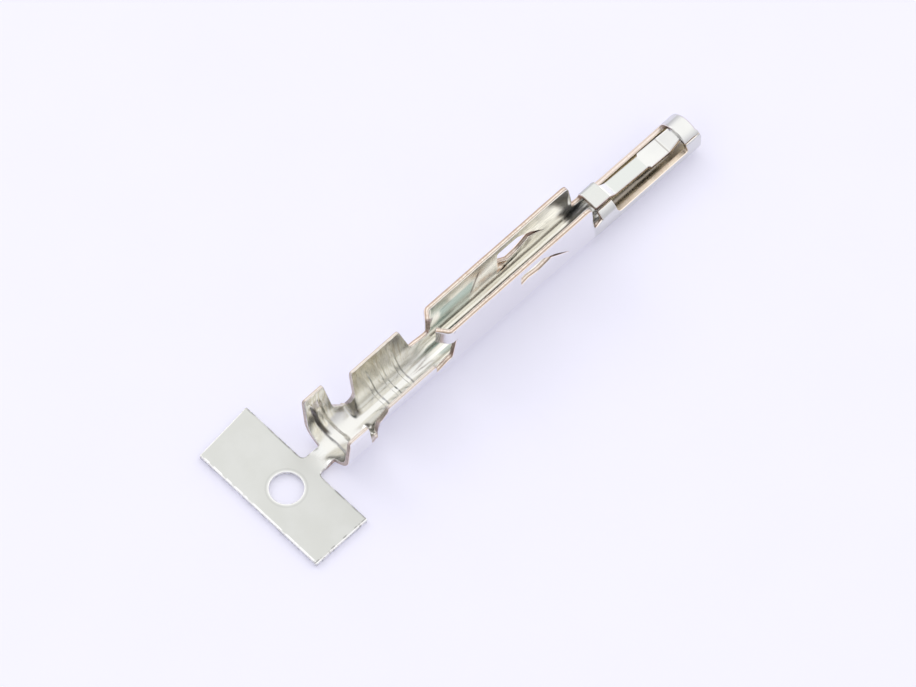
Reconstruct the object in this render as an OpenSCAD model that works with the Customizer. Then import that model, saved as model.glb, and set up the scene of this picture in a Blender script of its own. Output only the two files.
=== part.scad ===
// Crimp contact, stamped and folded from one piece of tinned bronze sheet.
// It lies on its underside, with its socket towards +X and a remnant of its carrier strip at -X.
// The origin is the centre of the strip's pilot hole, on the underside of the sheet.

/* [Sheet] */
// Thickness of the sheet
sheet_t = 0.25; // [0.2:0.01:0.28]

/* [Carrier strip] */
// Length of the strip remnant along the contact
carrier_l = 3.05; // [2.6:0.05:3.6]
// Distance from the pilot hole's centre back to the strip's rear edge
pilot_back = 1.6; // [1.3:0.05:1.8]
// Diameter of the pilot hole
pilot_d = 1.5; // [1:0.05:1.8]
// Reach of the strip on the far side of the hole
carrier_far = 3.86; // [2:0.02:5]
// Reach of the strip on the near side of the hole
carrier_near = 3.5; // [2:0.02:5]
// Slant of the far cut end, in degrees off square
carrier_slant = 5; // [0:0.5:8]
// Length of the link between the strip and the contact
link_l = 0.93; // [0.6:0.01:1.4]
// Width of the link
link_w = 1; // [0.7:0.02:1.3]
// Radius in the corners between the link and the strip
link_corner_r = 0.22; // [0.05:0.01:0.4]

/* [Insulation barrel] */
// Radius of the barrel's round bottom, outside
insulation_r = 1.4; // [1.2:0.02:1.6]
// Outward lean of the wings, in degrees
insulation_flare = 5; // [0:0.5:10]
// Height of the wings
insulation_h = 3.2; // [2.6:0.05:3.8]
// Length of the wings along their top edge
insulation_wing_l = 1.13; // [0.8:0.01:1.3]
// Length of the wings at their foot
insulation_foot_l = 1.49; // [1.35:0.01:1.7]
// Length of the barrel's floor
insulation_floor_l = 1.99; // [1.85:0.01:2.3]
// Distance from the barrel's rear edge to the raised rib
rib_x = 0.62; // [0.3:0.01:0.75]
// Width of the raised rib
rib_w = 0.5; // [0.3:0.01:0.55]
// Height of the raised rib above the sheet's inner face
rib_t = 0.14; // [0.05:0.01:0.2]
// Distance of the rib's ends below the wing tips
rib_drop = 0.8; // [0.4:0.05:1.2]

/* [Wire barrel] */
// Radius of the barrel's round bottom, outside
wire_r = 0.8; // [0.7:0.01:0.9]
// Outward lean of the wings, in degrees
wire_flare = 14.5; // [5:0.5:16]
// Height of the wings
wire_h = 2.68; // [2.2:0.02:3.2]
// Length of the wings along their top edge
wire_wing_l = 2.85; // [2.4:0.05:3.1]
// Length of the wings at their foot
wire_foot_l = 3.3; // [3.15:0.01:3.5]
// Number of serration grooves across the barrel
groove_count = 3; // [0:1:4]
// Distance from the barrel's rear end to the first groove
groove_x = 0.95; // [0.4:0.01:1.2]
// Distance from one groove to the next
groove_pitch = 0.74; // [0.4:0.01:0.8]
// Width of a groove
groove_w = 0.2; // [0.1:0.01:0.3]
// Depth of a groove
groove_depth = 0.07; // [0.03:0.01:0.1]

/* [Transitions] */
// Depth of the bevel outside the barrels' wing tips
tip_bevel = 0.08; // [0.02:0.01:0.12]
// Length of the bevel, down from the wing tips
tip_bevel_l = 0.3; // [0.2:0.05:0.4]
// Length over which the insulation barrel narrows to the wire barrel
neck_l = 0.44; // [0.35:0.01:0.8]
// Height of the edges where the narrowing starts
neck_edge_h = 0.62; // [0.5:0.01:0.75]
// Height of the edges in front of the insulation barrel's wings
low_edge_h = 1; // [0.9:0.01:1.1]
// Height of the edges where the wire barrel's wings start
neck_rise_h = 1.35; // [1.2:0.01:1.5]
// Height of the edges between the wire barrel and the body
throat_edge_h = 1.28; // [1.1:0.01:1.5]
// Length of the trough between the wire barrel and the body
throat_l = 0.88; // [0.6:0.01:1.2]
// Length of the step from a low edge up to a wall
step_l = 0.12; // [0.05:0.01:0.2]
// Radius of the small fillets along the edges
edge_fillet_r = 0.12; // [0.05:0.01:0.14]
// Radius of the large fillets at the foot of the wings
foot_fillet_r = 0.2; // [0.1:0.01:0.22]

/* [Body] */
// Outside width of the body
body_w = 1.78; // [1.7:0.01:1.84]
// Length of the body's walls along their top edge
body_l = 8.42; // [7.9:0.02:9.2]
// Height of the body's walls
body_h = 3.56; // [3.1:0.02:3.9]
// Radius of the walls' upper front corners
body_corner_r = 0.28; // [0.1:0.01:0.4]
// Distance that the walls' front edges slant forwards, from top to bottom
front_slant = 0.25; // [0:0.01:0.4]
// Height of the turned-in tabs at the rear of the walls
tab_h = 1; // [0.7:0.05:1.3]
// Angle that the tabs are turned in by, in degrees
tab_turn = 55; // [40:1:65]
// Outside radius of the tabs' bends
tab_bend_r = 0.42; // [0.36:0.01:0.5]
// Distance that the notches under the tabs reach into the walls
tab_notch = 0.25; // [0.15:0.01:0.4]
// Distance from the walls' rear edge to the tabs' bends
tab_back = 0.13; // [0.05:0.01:0.3]
// Length of the straight end of the far tab
tab_far_l = 0.38; // [0.3:0.01:0.55]
// Length of the straight end of the near tab
tab_near_l = 0.5; // [0.3:0.01:0.55]

/* [Locking tongues] */
// Distance from the body's rear edge to the windows
window_x = 4.28; // [3.6:0.02:4.6]
// Length of the windows
window_l = 2.85; // [2.4:0.05:3.2]
// Length of the level part of a window's upper edge
window_level_l = 1.2; // [0.8:0.02:1.6]
// Height of a window's upper edge
window_top = 3.1; // [2.9:0.02:3.2]
// Height of the tongue's foot
tongue_foot_h = 1.22; // [1.1:0.02:1.4]
// Height of the tongue's upper edge at its rear end
tongue_rear_h = 2.34; // [2.2:0.02:2.6]
// Height of the tongue's upper edge at its front end
tongue_front_h = 1.6; // [1.5:0.02:1.8]
// Length of the slope at the tongue's rear end
tongue_slope_l = 0.5; // [0.3:0.05:0.8]
// Distance that the tongue is pressed inwards, out of the wall
tongue_press = 0.2; // [0.1:0.01:0.24]

/* [Socket] */
// Outside diameter of the socket
socket_d = 1.84; // [1.78:0.01:1.9]
// Height that the body's round bottom stands out from the socket where it runs on round the collar
collar_rim = 0.01; // [0.01:0.01:0.03]
// Length of the relief notches between the walls and the collar
relief_l = 0.77; // [0.6:0.01:1]
// Height of the bottom of the relief notches
relief_h = 1.42; // [1.2:0.02:1.6]
// Length of the closed collar at the root of the spring
collar_l = 0.86; // [0.7:0.01:1.1]
// Height of the collar's flat top
collar_h = 1.9; // [1.86:0.01:1.98]
// Radius of the bend beside the collar's flat top
collar_bend_r = 0.27; // [0.15:0.01:0.32]
// Reach of the collar's top to the far side
collar_far = 0.76; // [0.7:0.01:0.85]
// Distance of the collar's seam from the middle, to the near side
collar_seam_y = 0.32; // [0.15:0.01:0.4]
// Width of the seams
seam_w = 0.03; // [0.02:0.01:0.06]
// Length of the open window over the spring
socket_window_l = 4.24; // [3.6:0.02:4.8]
// Height of the window's edges above the socket's axis
socket_edge_h = 0.22; // [0.1:0.01:0.45]
// Length of the closed ring at the nose
ring_l = 0.86; // [0.7:0.02:1.4]
// Amount by which the bore narrows from the collar to the ring
bore_taper = 0.02; // [0.01:0.01:0.04]
// Radius of the nose's outer edge
ring_edge_r = 0.18; // [0.1:0.01:0.19]
// Radius of the window's rear corners
socket_corner_r = 0.2; // [0.1:0.01:0.3]
// Depth of the lead-in inside the nose
lead_in = 0.09; // [0.05:0.01:0.12]
// Angle of the ring's seam above the near side, in degrees
ring_seam_angle = 41; // [20:1:60]

/* [Contact spring] */
// Width of the spring's rear half
spring_w = 0.74; // [0.6:0.01:0.8]
// Width of the spring's front half
spring_front_w = 0.92; // [0.8:0.01:0.96]
// Width of the spring's tip
spring_tip_w = 0.74; // [0.6:0.01:0.8]
// Distance from the collar to the start of the front half
spring_step_x = 2.35; // [2:0.05:2.7]
// Distance of the spring's middle from the contact's middle, to the far side
spring_shift = 0.03; // [0:0.01:0.05]
// Length of the spring's first bend, down from the collar's top
spring_bend_l = 0.36; // [0.2:0.01:0.6]
// Length of the slant between the spring's two widths
spring_flank_l = 0.08; // [0.04:0.01:0.2]
// Distance from the collar to the contact point
spring_dip_x = 3.55; // [3.2:0.05:3.8]
// Length over which the spring narrows to its tip
spring_taper_l = 0.3; // [0.2:0.05:0.5]
// Height of the spring's upper face where its first bend ends
spring_rear_h = 1.65; // [1.6:0.01:1.72]
// Height of the spring's upper face at the contact point
spring_dip_h = 1.44; // [1.38:0.01:1.5]
// Height of the spring's upper face at its tip
spring_tip_h = 1.58; // [1.5:0.01:1.65]
// Gap between the spring's tip and the ring
spring_tip_gap = 0.07; // [0.05:0.01:0.15]

/* [Hidden] */
$fn = 48;

tin = [0.84, 0.84, 0.81];

// How far a cutting shape reaches past the sheet that it cuts
past = 0.5;
// Length over which the body's round bottom runs on round the collar
collar_lap = 0.15;
// How far the body's walls run into the collar
seat = 0.02;
// How far a tongue's slopes run on past the wall's faces
inset = 0.02;
// How far a tongue's slopes run on over its upper edge
overrun = 0.1;
// Steps of a section's round bottom, from the middle to one wall
bend_steps = 14;

// Stations along the contact, from the pilot hole's centre
carrier_front_x = carrier_l - pilot_back;
insulation_x = carrier_front_x + link_l;
neck_x = insulation_x + insulation_floor_l;
wire_x = neck_x + neck_l;
wire_wing_x = wire_x + step_l;
throat_x = wire_x + wire_foot_l;
body_x = throat_x + throat_l;
wall_x = body_x + step_l;
tab_bend_x = wall_x + tab_back;
body_front_x = wall_x + body_l;
collar_x = body_front_x + relief_l;
socket_x = collar_x + collar_l;
ring_x = socket_x + socket_window_l;
nose_x = ring_x + ring_l;

wall_y = body_w / 2;
socket_r = socket_d / 2;
// The body's round bottom widens to this radius at the collar, round the socket's axis
collar_r = socket_r + collar_rim;
axis_z = collar_r;
bore_r = socket_r - sheet_t;
mouth_r = bore_r - bore_taper;

// Steps of a transition between two sections
ease_steps = 5;

// The trough's sections: station, radius of the round bottom, lean of the wings, height, bevel
insulation_section = [insulation_r, insulation_flare, insulation_h, tip_bevel];
wire_section = [wire_r, wire_flare, wire_h, tip_bevel];
body_section = [wall_y, 0, body_h, 0];
collar_section = [collar_r, 0, body_h, 0];
sections = concat(
    [concat([insulation_x - past], insulation_section)],
    eased(neck_x, neck_l, insulation_section, wire_section),
    eased(throat_x, throat_l, wire_section, body_section),
    eased(body_front_x, relief_l, body_section, collar_section),
    [concat([collar_x + collar_lap], collar_section)]);

// Sections that pass softly from one to another over a length
function eased(x, length, from, to) =
    [for (i = [0:ease_steps])
        let (t = i / ease_steps)
        concat([x + length * t], from + (to - from) * t * t * (3 - 2 * t))];

// Points of an arc round (x, y), from angle a0 to angle a1
function arc(x, y, r, a0, a1, steps) =
    [for (i = [0:steps]) let (a = a0 + (a1 - a0) * i / steps) [x + r * cos(a), y + r * sin(a)]];

function unit(v) = v / norm(v);
function xy(p) = [p[0], p[1]];
function reversed(list) = [for (i = [len(list) - 1:-1:0]) list[i]];
function mirrored(points) = [for (p = reversed(points)) [-p[0], p[1]]];

// Points of the arc of radius r that rounds the corner b between a and c
function corner(a, b, c, r) =
    let (u = unit(a - b), v = unit(c - b))
    let (half = acos(u * v) / 2)
    let (centre = b + unit(u + v) * r / sin(half))
    let (start = b + u * r / tan(half) - centre)
    let (end = b + v * r / tan(half) - centre)
    let (a0 = atan2(start[1], start[0]))
    let (a1 = atan2(end[1], end[0]))
    let (turn = a1 - a0 > 180 ? a1 - a0 - 360 : a1 - a0 < -180 ? a1 - a0 + 360 : a1 - a0)
    arc(centre[0], centre[1], r, a0, a0 + turn, 6);

// An outline whose points are [x, y] for a sharp corner or [x, y, radius] for a round one
function rounded(path) =
    let (n = len(path))
    [for (i = [0:n - 1])
        each is_undef(path[i][2])
            ? [path[i]]
            : corner(xy(path[(i + n - 1) % n]), xy(path[i]), xy(path[(i + 1) % n]), path[i][2])];

// An open path moved sideways by d, with its bends kept sharp
function shifted(path, d) =
    let (n = len(path))
    [for (i = [0:n - 1])
        let (u = unit(path[min(i + 1, n - 1)] - path[min(i, n - 2)]))
        let (v = unit(path[max(i, 1)] - path[max(i - 1, 0)]))
        let (side = unit([-u[1] - v[1], u[0] + v[0]]))
        path[i] + side * d / (side * [-u[1], u[0]])];

// Half of a trough's face that lies d inside the sheet's outer face, from the middle past the wing's top
function trough_half(r, flare, h, d, bevel = 0) =
    let (wall_z = r - (r - d) * sin(flare))
    let (bevel_z = h - tip_bevel_l)
    let (run = past + tip_bevel_l)
    let (bevel_y = (r - d) * cos(flare) + (bevel_z - wall_z) * tan(flare))
    concat(
        [for (i = [0:bend_steps - 1])
            let (a = -90 + (90 - flare) * (i + 0.5) / (bend_steps - 0.5))
            [(r - d) * cos(a), r + (r - d) * sin(a)]],
        [[bevel_y, bevel_z]],
        [[bevel_y + run * (tan(flare) - bevel / tip_bevel_l), bevel_z + run]]);

// The filled section of a trough, inside the face that lies d in
function trough_fill(r, flare, h, d, bevel = 0) =
    concat(mirrored(trough_half(r, flare, h, d, bevel)), trough_half(r, flare, h, d, bevel));

// The section of the sheet between two faces of a trough
function trough_skin(r, flare, h, from, to, bevel = 0) =
    concat(trough_fill(r, flare, h, from, bevel), reversed(trough_fill(r, flare, h, to)));

// A flat shape drawn across the contact (Y, Z), drawn out along it from x for a length
module along(x, length) {
    translate([x, 0, 0])
        rotate([90, 0, 90])
            linear_extrude(length)
                children();
}

// A flat shape drawn in side view (X, Z), drawn out across the contact
module side_view(width) {
    rotate([90, 0, 0])
        linear_extrude(width, center = true)
            children();
}

// The sheet bent to each section in turn, as one skin from the first station to the last
module bent_sheet() {
    rings = [for (s = sections) trough_skin(s[1], s[2], s[3], 0, sheet_t, s[4])];
    n = len(rings[0]);
    last = len(sections) - 1;
    polyhedron(
        points = [for (k = [0:last]) for (p = rings[k]) [sections[k][0], p[0], p[1]]],
        faces = concat(
            [[for (i = [0:n - 1]) i]],
            [[for (i = [n - 1:-1:0]) last * n + i]],
            [for (k = [0:last - 1], i = [0:n - 1])
                let (j = (i + 1) % n)
                each [[k * n + i, (k + 1) * n + j, k * n + j],
                    [k * n + i, (k + 1) * n + i, (k + 1) * n + j]]]),
        convexity = 8);
}

// The remnant of the carrier strip with its pilot hole, and the link to the contact
module carrier() {
    slant = tan(carrier_slant) * carrier_l / 2;
    difference() {
        linear_extrude(sheet_t)
            polygon(rounded([
                [-pilot_back, -carrier_near],
                [carrier_front_x, -carrier_near],
                [carrier_front_x, -link_w / 2, link_corner_r],
                [insulation_x + sheet_t, -link_w / 2],
                [insulation_x + sheet_t, link_w / 2],
                [carrier_front_x, link_w / 2, link_corner_r],
                [carrier_front_x, carrier_far + slant],
                [-pilot_back, carrier_far - slant]]));
        translate([0, 0, -past])
            cylinder(d = pilot_d, h = sheet_t + 2 * past);
    }
}

// The edge line of the bent sheet, seen from the side
module edge_line() {
    polygon(rounded([
        [insulation_x, -past],
        [insulation_x, insulation_h, edge_fillet_r],
        [insulation_x + insulation_wing_l, insulation_h, edge_fillet_r],
        [insulation_x + insulation_foot_l, low_edge_h, foot_fillet_r],
        [neck_x, neck_edge_h, edge_fillet_r],
        [wire_x, neck_rise_h, foot_fillet_r],
        [wire_wing_x, wire_h, edge_fillet_r],
        [wire_wing_x + wire_wing_l, wire_h, edge_fillet_r],
        [throat_x, throat_edge_h, edge_fillet_r],
        [wall_x, throat_edge_h, edge_fillet_r],
        [wall_x + tab_notch, body_h - tab_h],
        [tab_bend_x, body_h - tab_h],
        [tab_bend_x, body_h],
        [body_front_x, body_h, body_corner_r],
        [body_front_x + front_slant, relief_h, foot_fillet_r],
        [collar_x + seat, relief_h],
        [collar_x + seat, axis_z],
        [collar_x + past, axis_z],
        [collar_x + past, -past]]));
}

// The raised rib that bites into the wire's insulation
module insulation_rib() {
    x0 = insulation_x + rib_x;
    top = insulation_h - rib_drop;
    intersection() {
        along(x0, rib_w)
            polygon(trough_skin(insulation_r, insulation_flare, insulation_h, sheet_t / 2, sheet_t + rib_t));
        side_view(4 * insulation_r)
            polygon([
                [x0 - past, -past],
                [x0 - past, top],
                [x0, top],
                [x0 + rib_w, top - rib_w / 2],
                [x0 + rib_w + past, top - rib_w / 2],
                [x0 + rib_w + past, -past]]);
    }
}

// The serration grooves across the inside of the wire barrel
module serration_grooves() {
    for (i = [0:1:groove_count - 1])
        along(wire_x + groove_x + i * groove_pitch, groove_w)
            polygon(trough_fill(wire_r, wire_flare, wire_h + 2 * past, sheet_t - groove_depth));
}

// The opening over a tongue, in side view
module window_outline() {
    x0 = body_x + window_x;
    polygon([
        [x0, tongue_rear_h],
        [x0, window_top],
        [x0 + window_level_l, window_top],
        [x0 + window_l, tongue_front_h]]);
}

// The solid between a wall's face at y and a tongue's slopes, which start at that face
module tongue_slopes(y) {
    x0 = body_x + window_x;
    share = tongue_slope_l / window_l;
    tip_h = tongue_rear_h + (tongue_front_h - tongue_rear_h) * share + overrun;
    tip = [x0 + tongue_slope_l, y - tongue_press, tip_h];
    foot = [
        [x0, y, tongue_foot_h],
        [x0, y, tongue_rear_h + overrun],
        [x0 + window_l, y, tongue_front_h + overrun]];
    grow = (tongue_press + inset) / tongue_press;
    polyhedron(
        points = concat([for (p = foot) tip + (p - tip) * grow], [tip]),
        faces = [[2, 1, 0], [0, 1, 3], [1, 2, 3], [2, 0, 3]],
        convexity = 2);
}

// The trough with both barrels and the body's channel
module trough() {
    difference() {
        union() {
            intersection() {
                bent_sheet();
                side_view(4 * insulation_r)
                    edge_line();
            }
            both_walls()
                tongue_slopes(wall_y - sheet_t);
        }
        serration_grooves();
        both_walls()
            tongue_slopes(wall_y);
        side_view(4 * insulation_r)
            window_outline();
    }
    insulation_rib();
}

// A piece on the far wall and its mirror image on the near wall
module both_walls() {
    children();
    mirror([0, 1, 0])
        children();
}

// One tab that closes the rear of the body, turned in from the far wall
module rear_tab(length) {
    translate([tab_bend_x, wall_y - tab_bend_r, body_h - tab_h]) {
        rotate([0, 0, 90])
            rotate_extrude(angle = tab_turn)
                translate([tab_bend_r - sheet_t, 0])
                    square([sheet_t, tab_h]);
        rotate([0, 0, 90 + tab_turn])
            translate([tab_bend_r - sheet_t, 0, 0])
                cube([sheet_t, length, tab_h]);
    }
}

// The collar's folded-over top, d inside its outer face
module collar_top(d) {
    polygon(rounded([
        [-collar_seam_y, axis_z],
        [socket_r - seat - d, axis_z],
        [collar_far - d, collar_h - d, collar_bend_r - d / 2],
        [-collar_seam_y, collar_h - d]]));
}

// The rolled socket: collar, open tube and closed ring in one
module socket() {
    difference() {
        union() {
            translate([collar_x, 0, axis_z])
                rotate([0, 90, 0])
                    rotate_extrude()
                        polygon(rounded([
                            [0, 0],
                            [socket_r, 0],
                            [socket_r, nose_x - collar_x, ring_edge_r],
                            [0, nose_x - collar_x]]));
            along(collar_x, collar_l)
                collar_top(0);
        }
        translate([collar_x - past, 0, axis_z])
            rotate([0, 90, 0])
                cylinder(r1 = bore_r, r2 = mouth_r, h = ring_x - collar_x + past);
        translate([ring_x, 0, axis_z])
            rotate([0, 90, 0])
                cylinder(r = mouth_r, h = ring_l + past);
        translate([nose_x - lead_in, 0, axis_z])
            rotate([0, 90, 0])
                cylinder(r1 = mouth_r, r2 = mouth_r + 2 * lead_in, h = 2 * lead_in);
        along(collar_x - past, collar_l + 2 * past)
            collar_top(sheet_t);
        side_view(4 * socket_r)
            socket_window();
        along(collar_x - past, collar_l + 2 * past)
            translate([-collar_seam_y - seam_w, axis_z])
                square([seam_w, socket_r]);
        translate([ring_x - past, 0, axis_z])
            rotate([180 - ring_seam_angle, 0, 0])
                translate([0, 0, -seam_w / 2])
                    cube([ring_l + 2 * past, socket_d, seam_w]);
    }
}

// The window over the spring, seen from the side
module socket_window() {
    edge_z = axis_z + socket_edge_h;
    polygon(rounded([
        [socket_x, socket_d + past],
        [socket_x, edge_z, socket_corner_r],
        [ring_x, edge_z],
        [ring_x, socket_d + past]]));
}

// The contact spring, bent down from the collar's top into the socket
module contact_spring() {
    root_x = socket_x - collar_l / 2;
    dip_x = socket_x + spring_dip_x;
    step_x = socket_x + spring_step_x;
    tip_x = ring_x - spring_tip_gap;
    top = [
        [root_x, collar_h],
        [socket_x, collar_h],
        [socket_x + spring_bend_l, spring_rear_h],
        [dip_x, spring_dip_h],
        [tip_x, spring_tip_h]];
    half = [
        [root_x - past, spring_w / 2],
        [step_x, spring_w / 2],
        [step_x + spring_flank_l, spring_front_w / 2],
        [tip_x - spring_taper_l, spring_front_w / 2],
        [tip_x, spring_tip_w / 2]];
    intersection() {
        side_view(socket_d)
            polygon(concat(top, reversed(shifted(top, -sheet_t))));
        translate([0, spring_shift, 0])
            linear_extrude(socket_d + past)
                polygon(concat(half, [for (p = reversed(half)) [p[0], -p[1]]]));
    }
}

// The whole contact, one folded sheet
module crimp_contact() {
    color(tin) {
        carrier();
        trough();
        rear_tab(tab_far_l);
        mirror([0, 1, 0])
            rear_tab(tab_near_l);
        socket();
        contact_spring();
    }
}

crimp_contact();
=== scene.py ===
# %% [markdown]
# # A crimp contact, folded from one piece of tinned sheet
# The real object is 26 mm long and starts as a flat blank, punched from bronze strip that is already
# tinned. Tools then curl and fold the blank. This lesson makes the visual model in the same order:
# draw the blank, mesh it flat, and fold every point by the bend that its place on the blank gets.
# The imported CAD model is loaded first, because the fold has to end up where the CAD solid is.

# %% Load the frame
import math
import bmesh
import bpy
import numpy as np
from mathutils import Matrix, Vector
from mathutils.geometry import delaunay_2d_cdt
from mathutils.kdtree import KDTree


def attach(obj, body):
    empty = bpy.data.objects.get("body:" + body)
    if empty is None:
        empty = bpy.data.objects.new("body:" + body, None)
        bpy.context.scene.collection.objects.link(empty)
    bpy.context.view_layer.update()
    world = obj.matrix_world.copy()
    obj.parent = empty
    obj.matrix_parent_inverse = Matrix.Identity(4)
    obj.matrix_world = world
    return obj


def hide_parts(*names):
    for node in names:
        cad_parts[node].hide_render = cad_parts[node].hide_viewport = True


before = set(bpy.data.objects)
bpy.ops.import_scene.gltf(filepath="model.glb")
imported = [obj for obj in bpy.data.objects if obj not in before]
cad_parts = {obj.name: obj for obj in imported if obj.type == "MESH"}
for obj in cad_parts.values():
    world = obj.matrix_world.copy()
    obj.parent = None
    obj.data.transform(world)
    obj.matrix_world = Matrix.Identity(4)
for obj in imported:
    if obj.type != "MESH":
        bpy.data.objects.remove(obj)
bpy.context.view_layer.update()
MM = 0.001

# %% [markdown]
# ## The camera
# The photograph looks down on the contact from behind and to its near side, with a long lens, so that
# parallel edges stay nearly parallel. The lens is long here too, and the camera stands far back.
# The aim point and the width of the view come from where the strip's corners and the nose lie in the frame.

# %% Camera
VIEW_AZIMUTH, VIEW_ELEVATION = math.radians(-44.4), math.radians(63.8)
VIEW_WIDTH = 39.5
AIM = Vector((10.154, -0.122, 0)) * MM
LENS, SENSOR = 400, 36

camera_data = bpy.data.cameras.new("camera")
camera_data.lens, camera_data.sensor_width = LENS, SENSOR
camera_data.clip_start, camera_data.clip_end = 0.01, 5
camera = bpy.data.objects.new("camera", camera_data)
bpy.context.collection.objects.link(camera)
back = Vector((
    math.sin(VIEW_AZIMUTH) * math.cos(VIEW_ELEVATION),
    -math.cos(VIEW_AZIMUTH) * math.cos(VIEW_ELEVATION),
    math.sin(VIEW_ELEVATION)))
camera.location = AIM + back * VIEW_WIDTH * MM * LENS / SENSOR
camera.rotation_mode = "QUATERNION"
camera.rotation_quaternion = (-back).to_track_quat("-Z", "Y")
bpy.context.scene.camera = camera
print("camera stands", round(camera.location.length, 3), "m away")

# %% [markdown]
# ## Sizes of the blank
# All sizes are in millimetres. `u` runs along the contact and is the station of a fold, `w` runs across
# the sheet along its middle layer, and zero is the line that rests on the table. Far is the +Y side.

# %% Stations and heights
T = 0.25
STRIP_REAR, STRIP_FRONT = -1.6, 1.45
STRIP_FAR, STRIP_NEAR, STRIP_SLANT = 3.86, -3.5, 0.133
PILOT_R, LINK_HALF = 0.75, 0.5
INSULATION, NECK, WIRE, THROAT, BODY = 2.38, 4.37, 4.81, 8.11, 8.99
WALL, TAB_BEND, BODY_FRONT = 9.11, 9.24, 17.53
COLLAR, SOCKET, RING, NOSE = 18.30, 19.16, 23.40, 24.26
INSULATION_R, WIRE_R, BODY_R, SOCKET_R = 1.4, 0.8, 0.89, 0.92
INSULATION_LEAN, WIRE_LEAN = 5, 14.5
INSULATION_H, WIRE_H, BODY_H = 3.2, 2.68, 3.56
LOW_H, NECK_H, NECK_RISE_H, THROAT_H = 1.0, 0.62, 1.35, 1.28
TIP_BEVEL, TIP_BEVEL_L = 0.08, 0.3
TAB_H, TAB_TURN, TAB_R = 1.0, math.radians(55), 0.42
TAB_FAR, TAB_NEAR, TAB_NOTCH = 0.38, 0.5, 0.25
RELIEF_H, FRONT_SLANT = 1.42, 0.25
COLLAR_H, COLLAR_BEND_R, FLAP_END_Y = 1.9, 0.27, -0.32
SOCKET_EDGE = 0.22
WINDOW_X, WINDOW_L, WINDOW_LEVEL, WINDOW_TOP = BODY + 4.28, 2.85, 1.2, 3.1
TONGUE_FOOT_H, TONGUE_REAR_H, TONGUE_FRONT_H = 1.22, 2.34, 1.6
TONGUE_LOW, TONGUE_LOW_H, TONGUE_HIGH, TONGUE_HIGH_H = 1.0, 2.2, 1.82, 2.42
TONGUE_SLOPE_L, TONGUE_PRESS, NEAR_PRESS = 0.5, 0.2, 0.4
WINDOW_TURN, WINDOW_TURN_H = 2.0, 2.5
print("the contact runs from", STRIP_REAR, "to", NOSE)

# %% [markdown]
# ## The bend of the sheet
# A folded sheet is best described by how sharply it curves at each place, not by where its points are.
# For each station there is a list of stretches across the sheet, each with its curvature: flat, a wide
# curl under the insulation, a tight curl under the wire, a full circle at the nose. Adding the curvature
# up gives the sheet's direction, and adding the direction up gives its place. Between two stations the
# curvature is blended, which is what the sheet does in the press, so every transition comes out smooth.

# %% Curvature across the sheet, at each station
STEP_W, REACH_W = 0.01, 5.6
STEP_U = 0.01
across = np.arange(-REACH_W, REACH_W + STEP_W / 2, STEP_W)
along = np.arange(STRIP_REAR - 0.2, NOSE + 0.2, STEP_U)


def profile(stretches_far, stretches_near):
    """Curvature over `across`, from lists of (end of the stretch, curvature) on each side of the middle."""
    out = np.zeros_like(across)
    for sign, stretches in ((1, stretches_far), (-1, stretches_near)):
        start = 0.0
        for end, bend in stretches:
            inside = (sign * across >= start) & (sign * across < end)
            out[inside] = bend
            start = end
    return out


def trough_profile(radius, lean):
    """A round bottom of this outside radius, with straight wings that lean outwards."""
    middle = radius - T / 2
    side = [(middle * math.radians(90 - lean), 1 / middle)]
    return profile(side, side)


SOCKET_MID = SOCKET_R - T / 2
LEAN_START = math.radians(100)
FLANK_L = 0.596
CORNER_MID = COLLAR_BEND_R - T / 2
FLAP_W = SOCKET_MID * LEAN_START + FLANK_L + CORNER_MID * math.radians(80)
collar_far = [
    (SOCKET_MID * LEAN_START, 1 / SOCKET_MID),
    (SOCKET_MID * LEAN_START + FLANK_L, 0),
    (FLAP_W, 1 / CORNER_MID)]
round_side = [(SOCKET_MID * math.pi * 1.3, 1 / SOCKET_MID)]
# the ring was closed with a slight crease on its far side, sharper than the circle and then flatter
CREASE, CREASE_TURN, FLATTER_TO = (math.radians(a) for a in (156, 10, 66))
ring_far = [
    (SOCKET_MID * CREASE, 1 / SOCKET_MID),
    (SOCKET_MID * (CREASE + CREASE_TURN), 1.5 / SOCKET_MID),
    (SOCKET_MID * (CREASE + FLATTER_TO), 0.9 / SOCKET_MID),
    (SOCKET_MID * math.pi * 1.4, 1 / SOCKET_MID)]
TUBE_W = SOCKET_MID * (math.pi / 2 + math.asin(SOCKET_EDGE / SOCKET_MID))
tube_far = [(TUBE_W + 0.05, 1 / SOCKET_MID)] + [
    (end + 0.05, bend) for end, bend in collar_far[1:]]

flat = np.zeros_like(across)
stations = [
    (STRIP_REAR - 1, flat),
    (STRIP_FRONT + 0.35, flat),
    (INSULATION, trough_profile(INSULATION_R, INSULATION_LEAN)),
    (NECK, trough_profile(INSULATION_R, INSULATION_LEAN)),
    (WIRE, trough_profile(WIRE_R, WIRE_LEAN)),
    (THROAT, trough_profile(WIRE_R, WIRE_LEAN)),
    (BODY, trough_profile(BODY_R, 0)),
    (BODY_FRONT, trough_profile(BODY_R, 0)),
    (COLLAR, profile(collar_far, round_side)),
    (SOCKET, profile(collar_far, round_side)),
    (SOCKET + 0.25, profile(tube_far, round_side)),
    (RING - 0.02, profile(tube_far, round_side)),
    (RING - 0.01, profile(ring_far, round_side)),
    (NOSE + 1, profile(ring_far, round_side))]
print(len(stations), "stations, each with its own curvature across the sheet")


def smooth(t):
    """A soft step from 0 at 0 to 1 at 1."""
    t = np.clip(t, 0, 1)
    return t * t * (3 - 2 * t)


# %% Add the curvature up to a table of places
def soften(rows, width):
    """Rounds off the jumps of curvature, because no tool bends a sheet from one radius to the next at once."""
    half = int(round(width / STEP_W))
    kernel = np.hanning(2 * half + 3)[1:-1]
    return np.apply_along_axis(lambda r: np.convolve(r, kernel / kernel.sum(), "same"), 1, rows)


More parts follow.
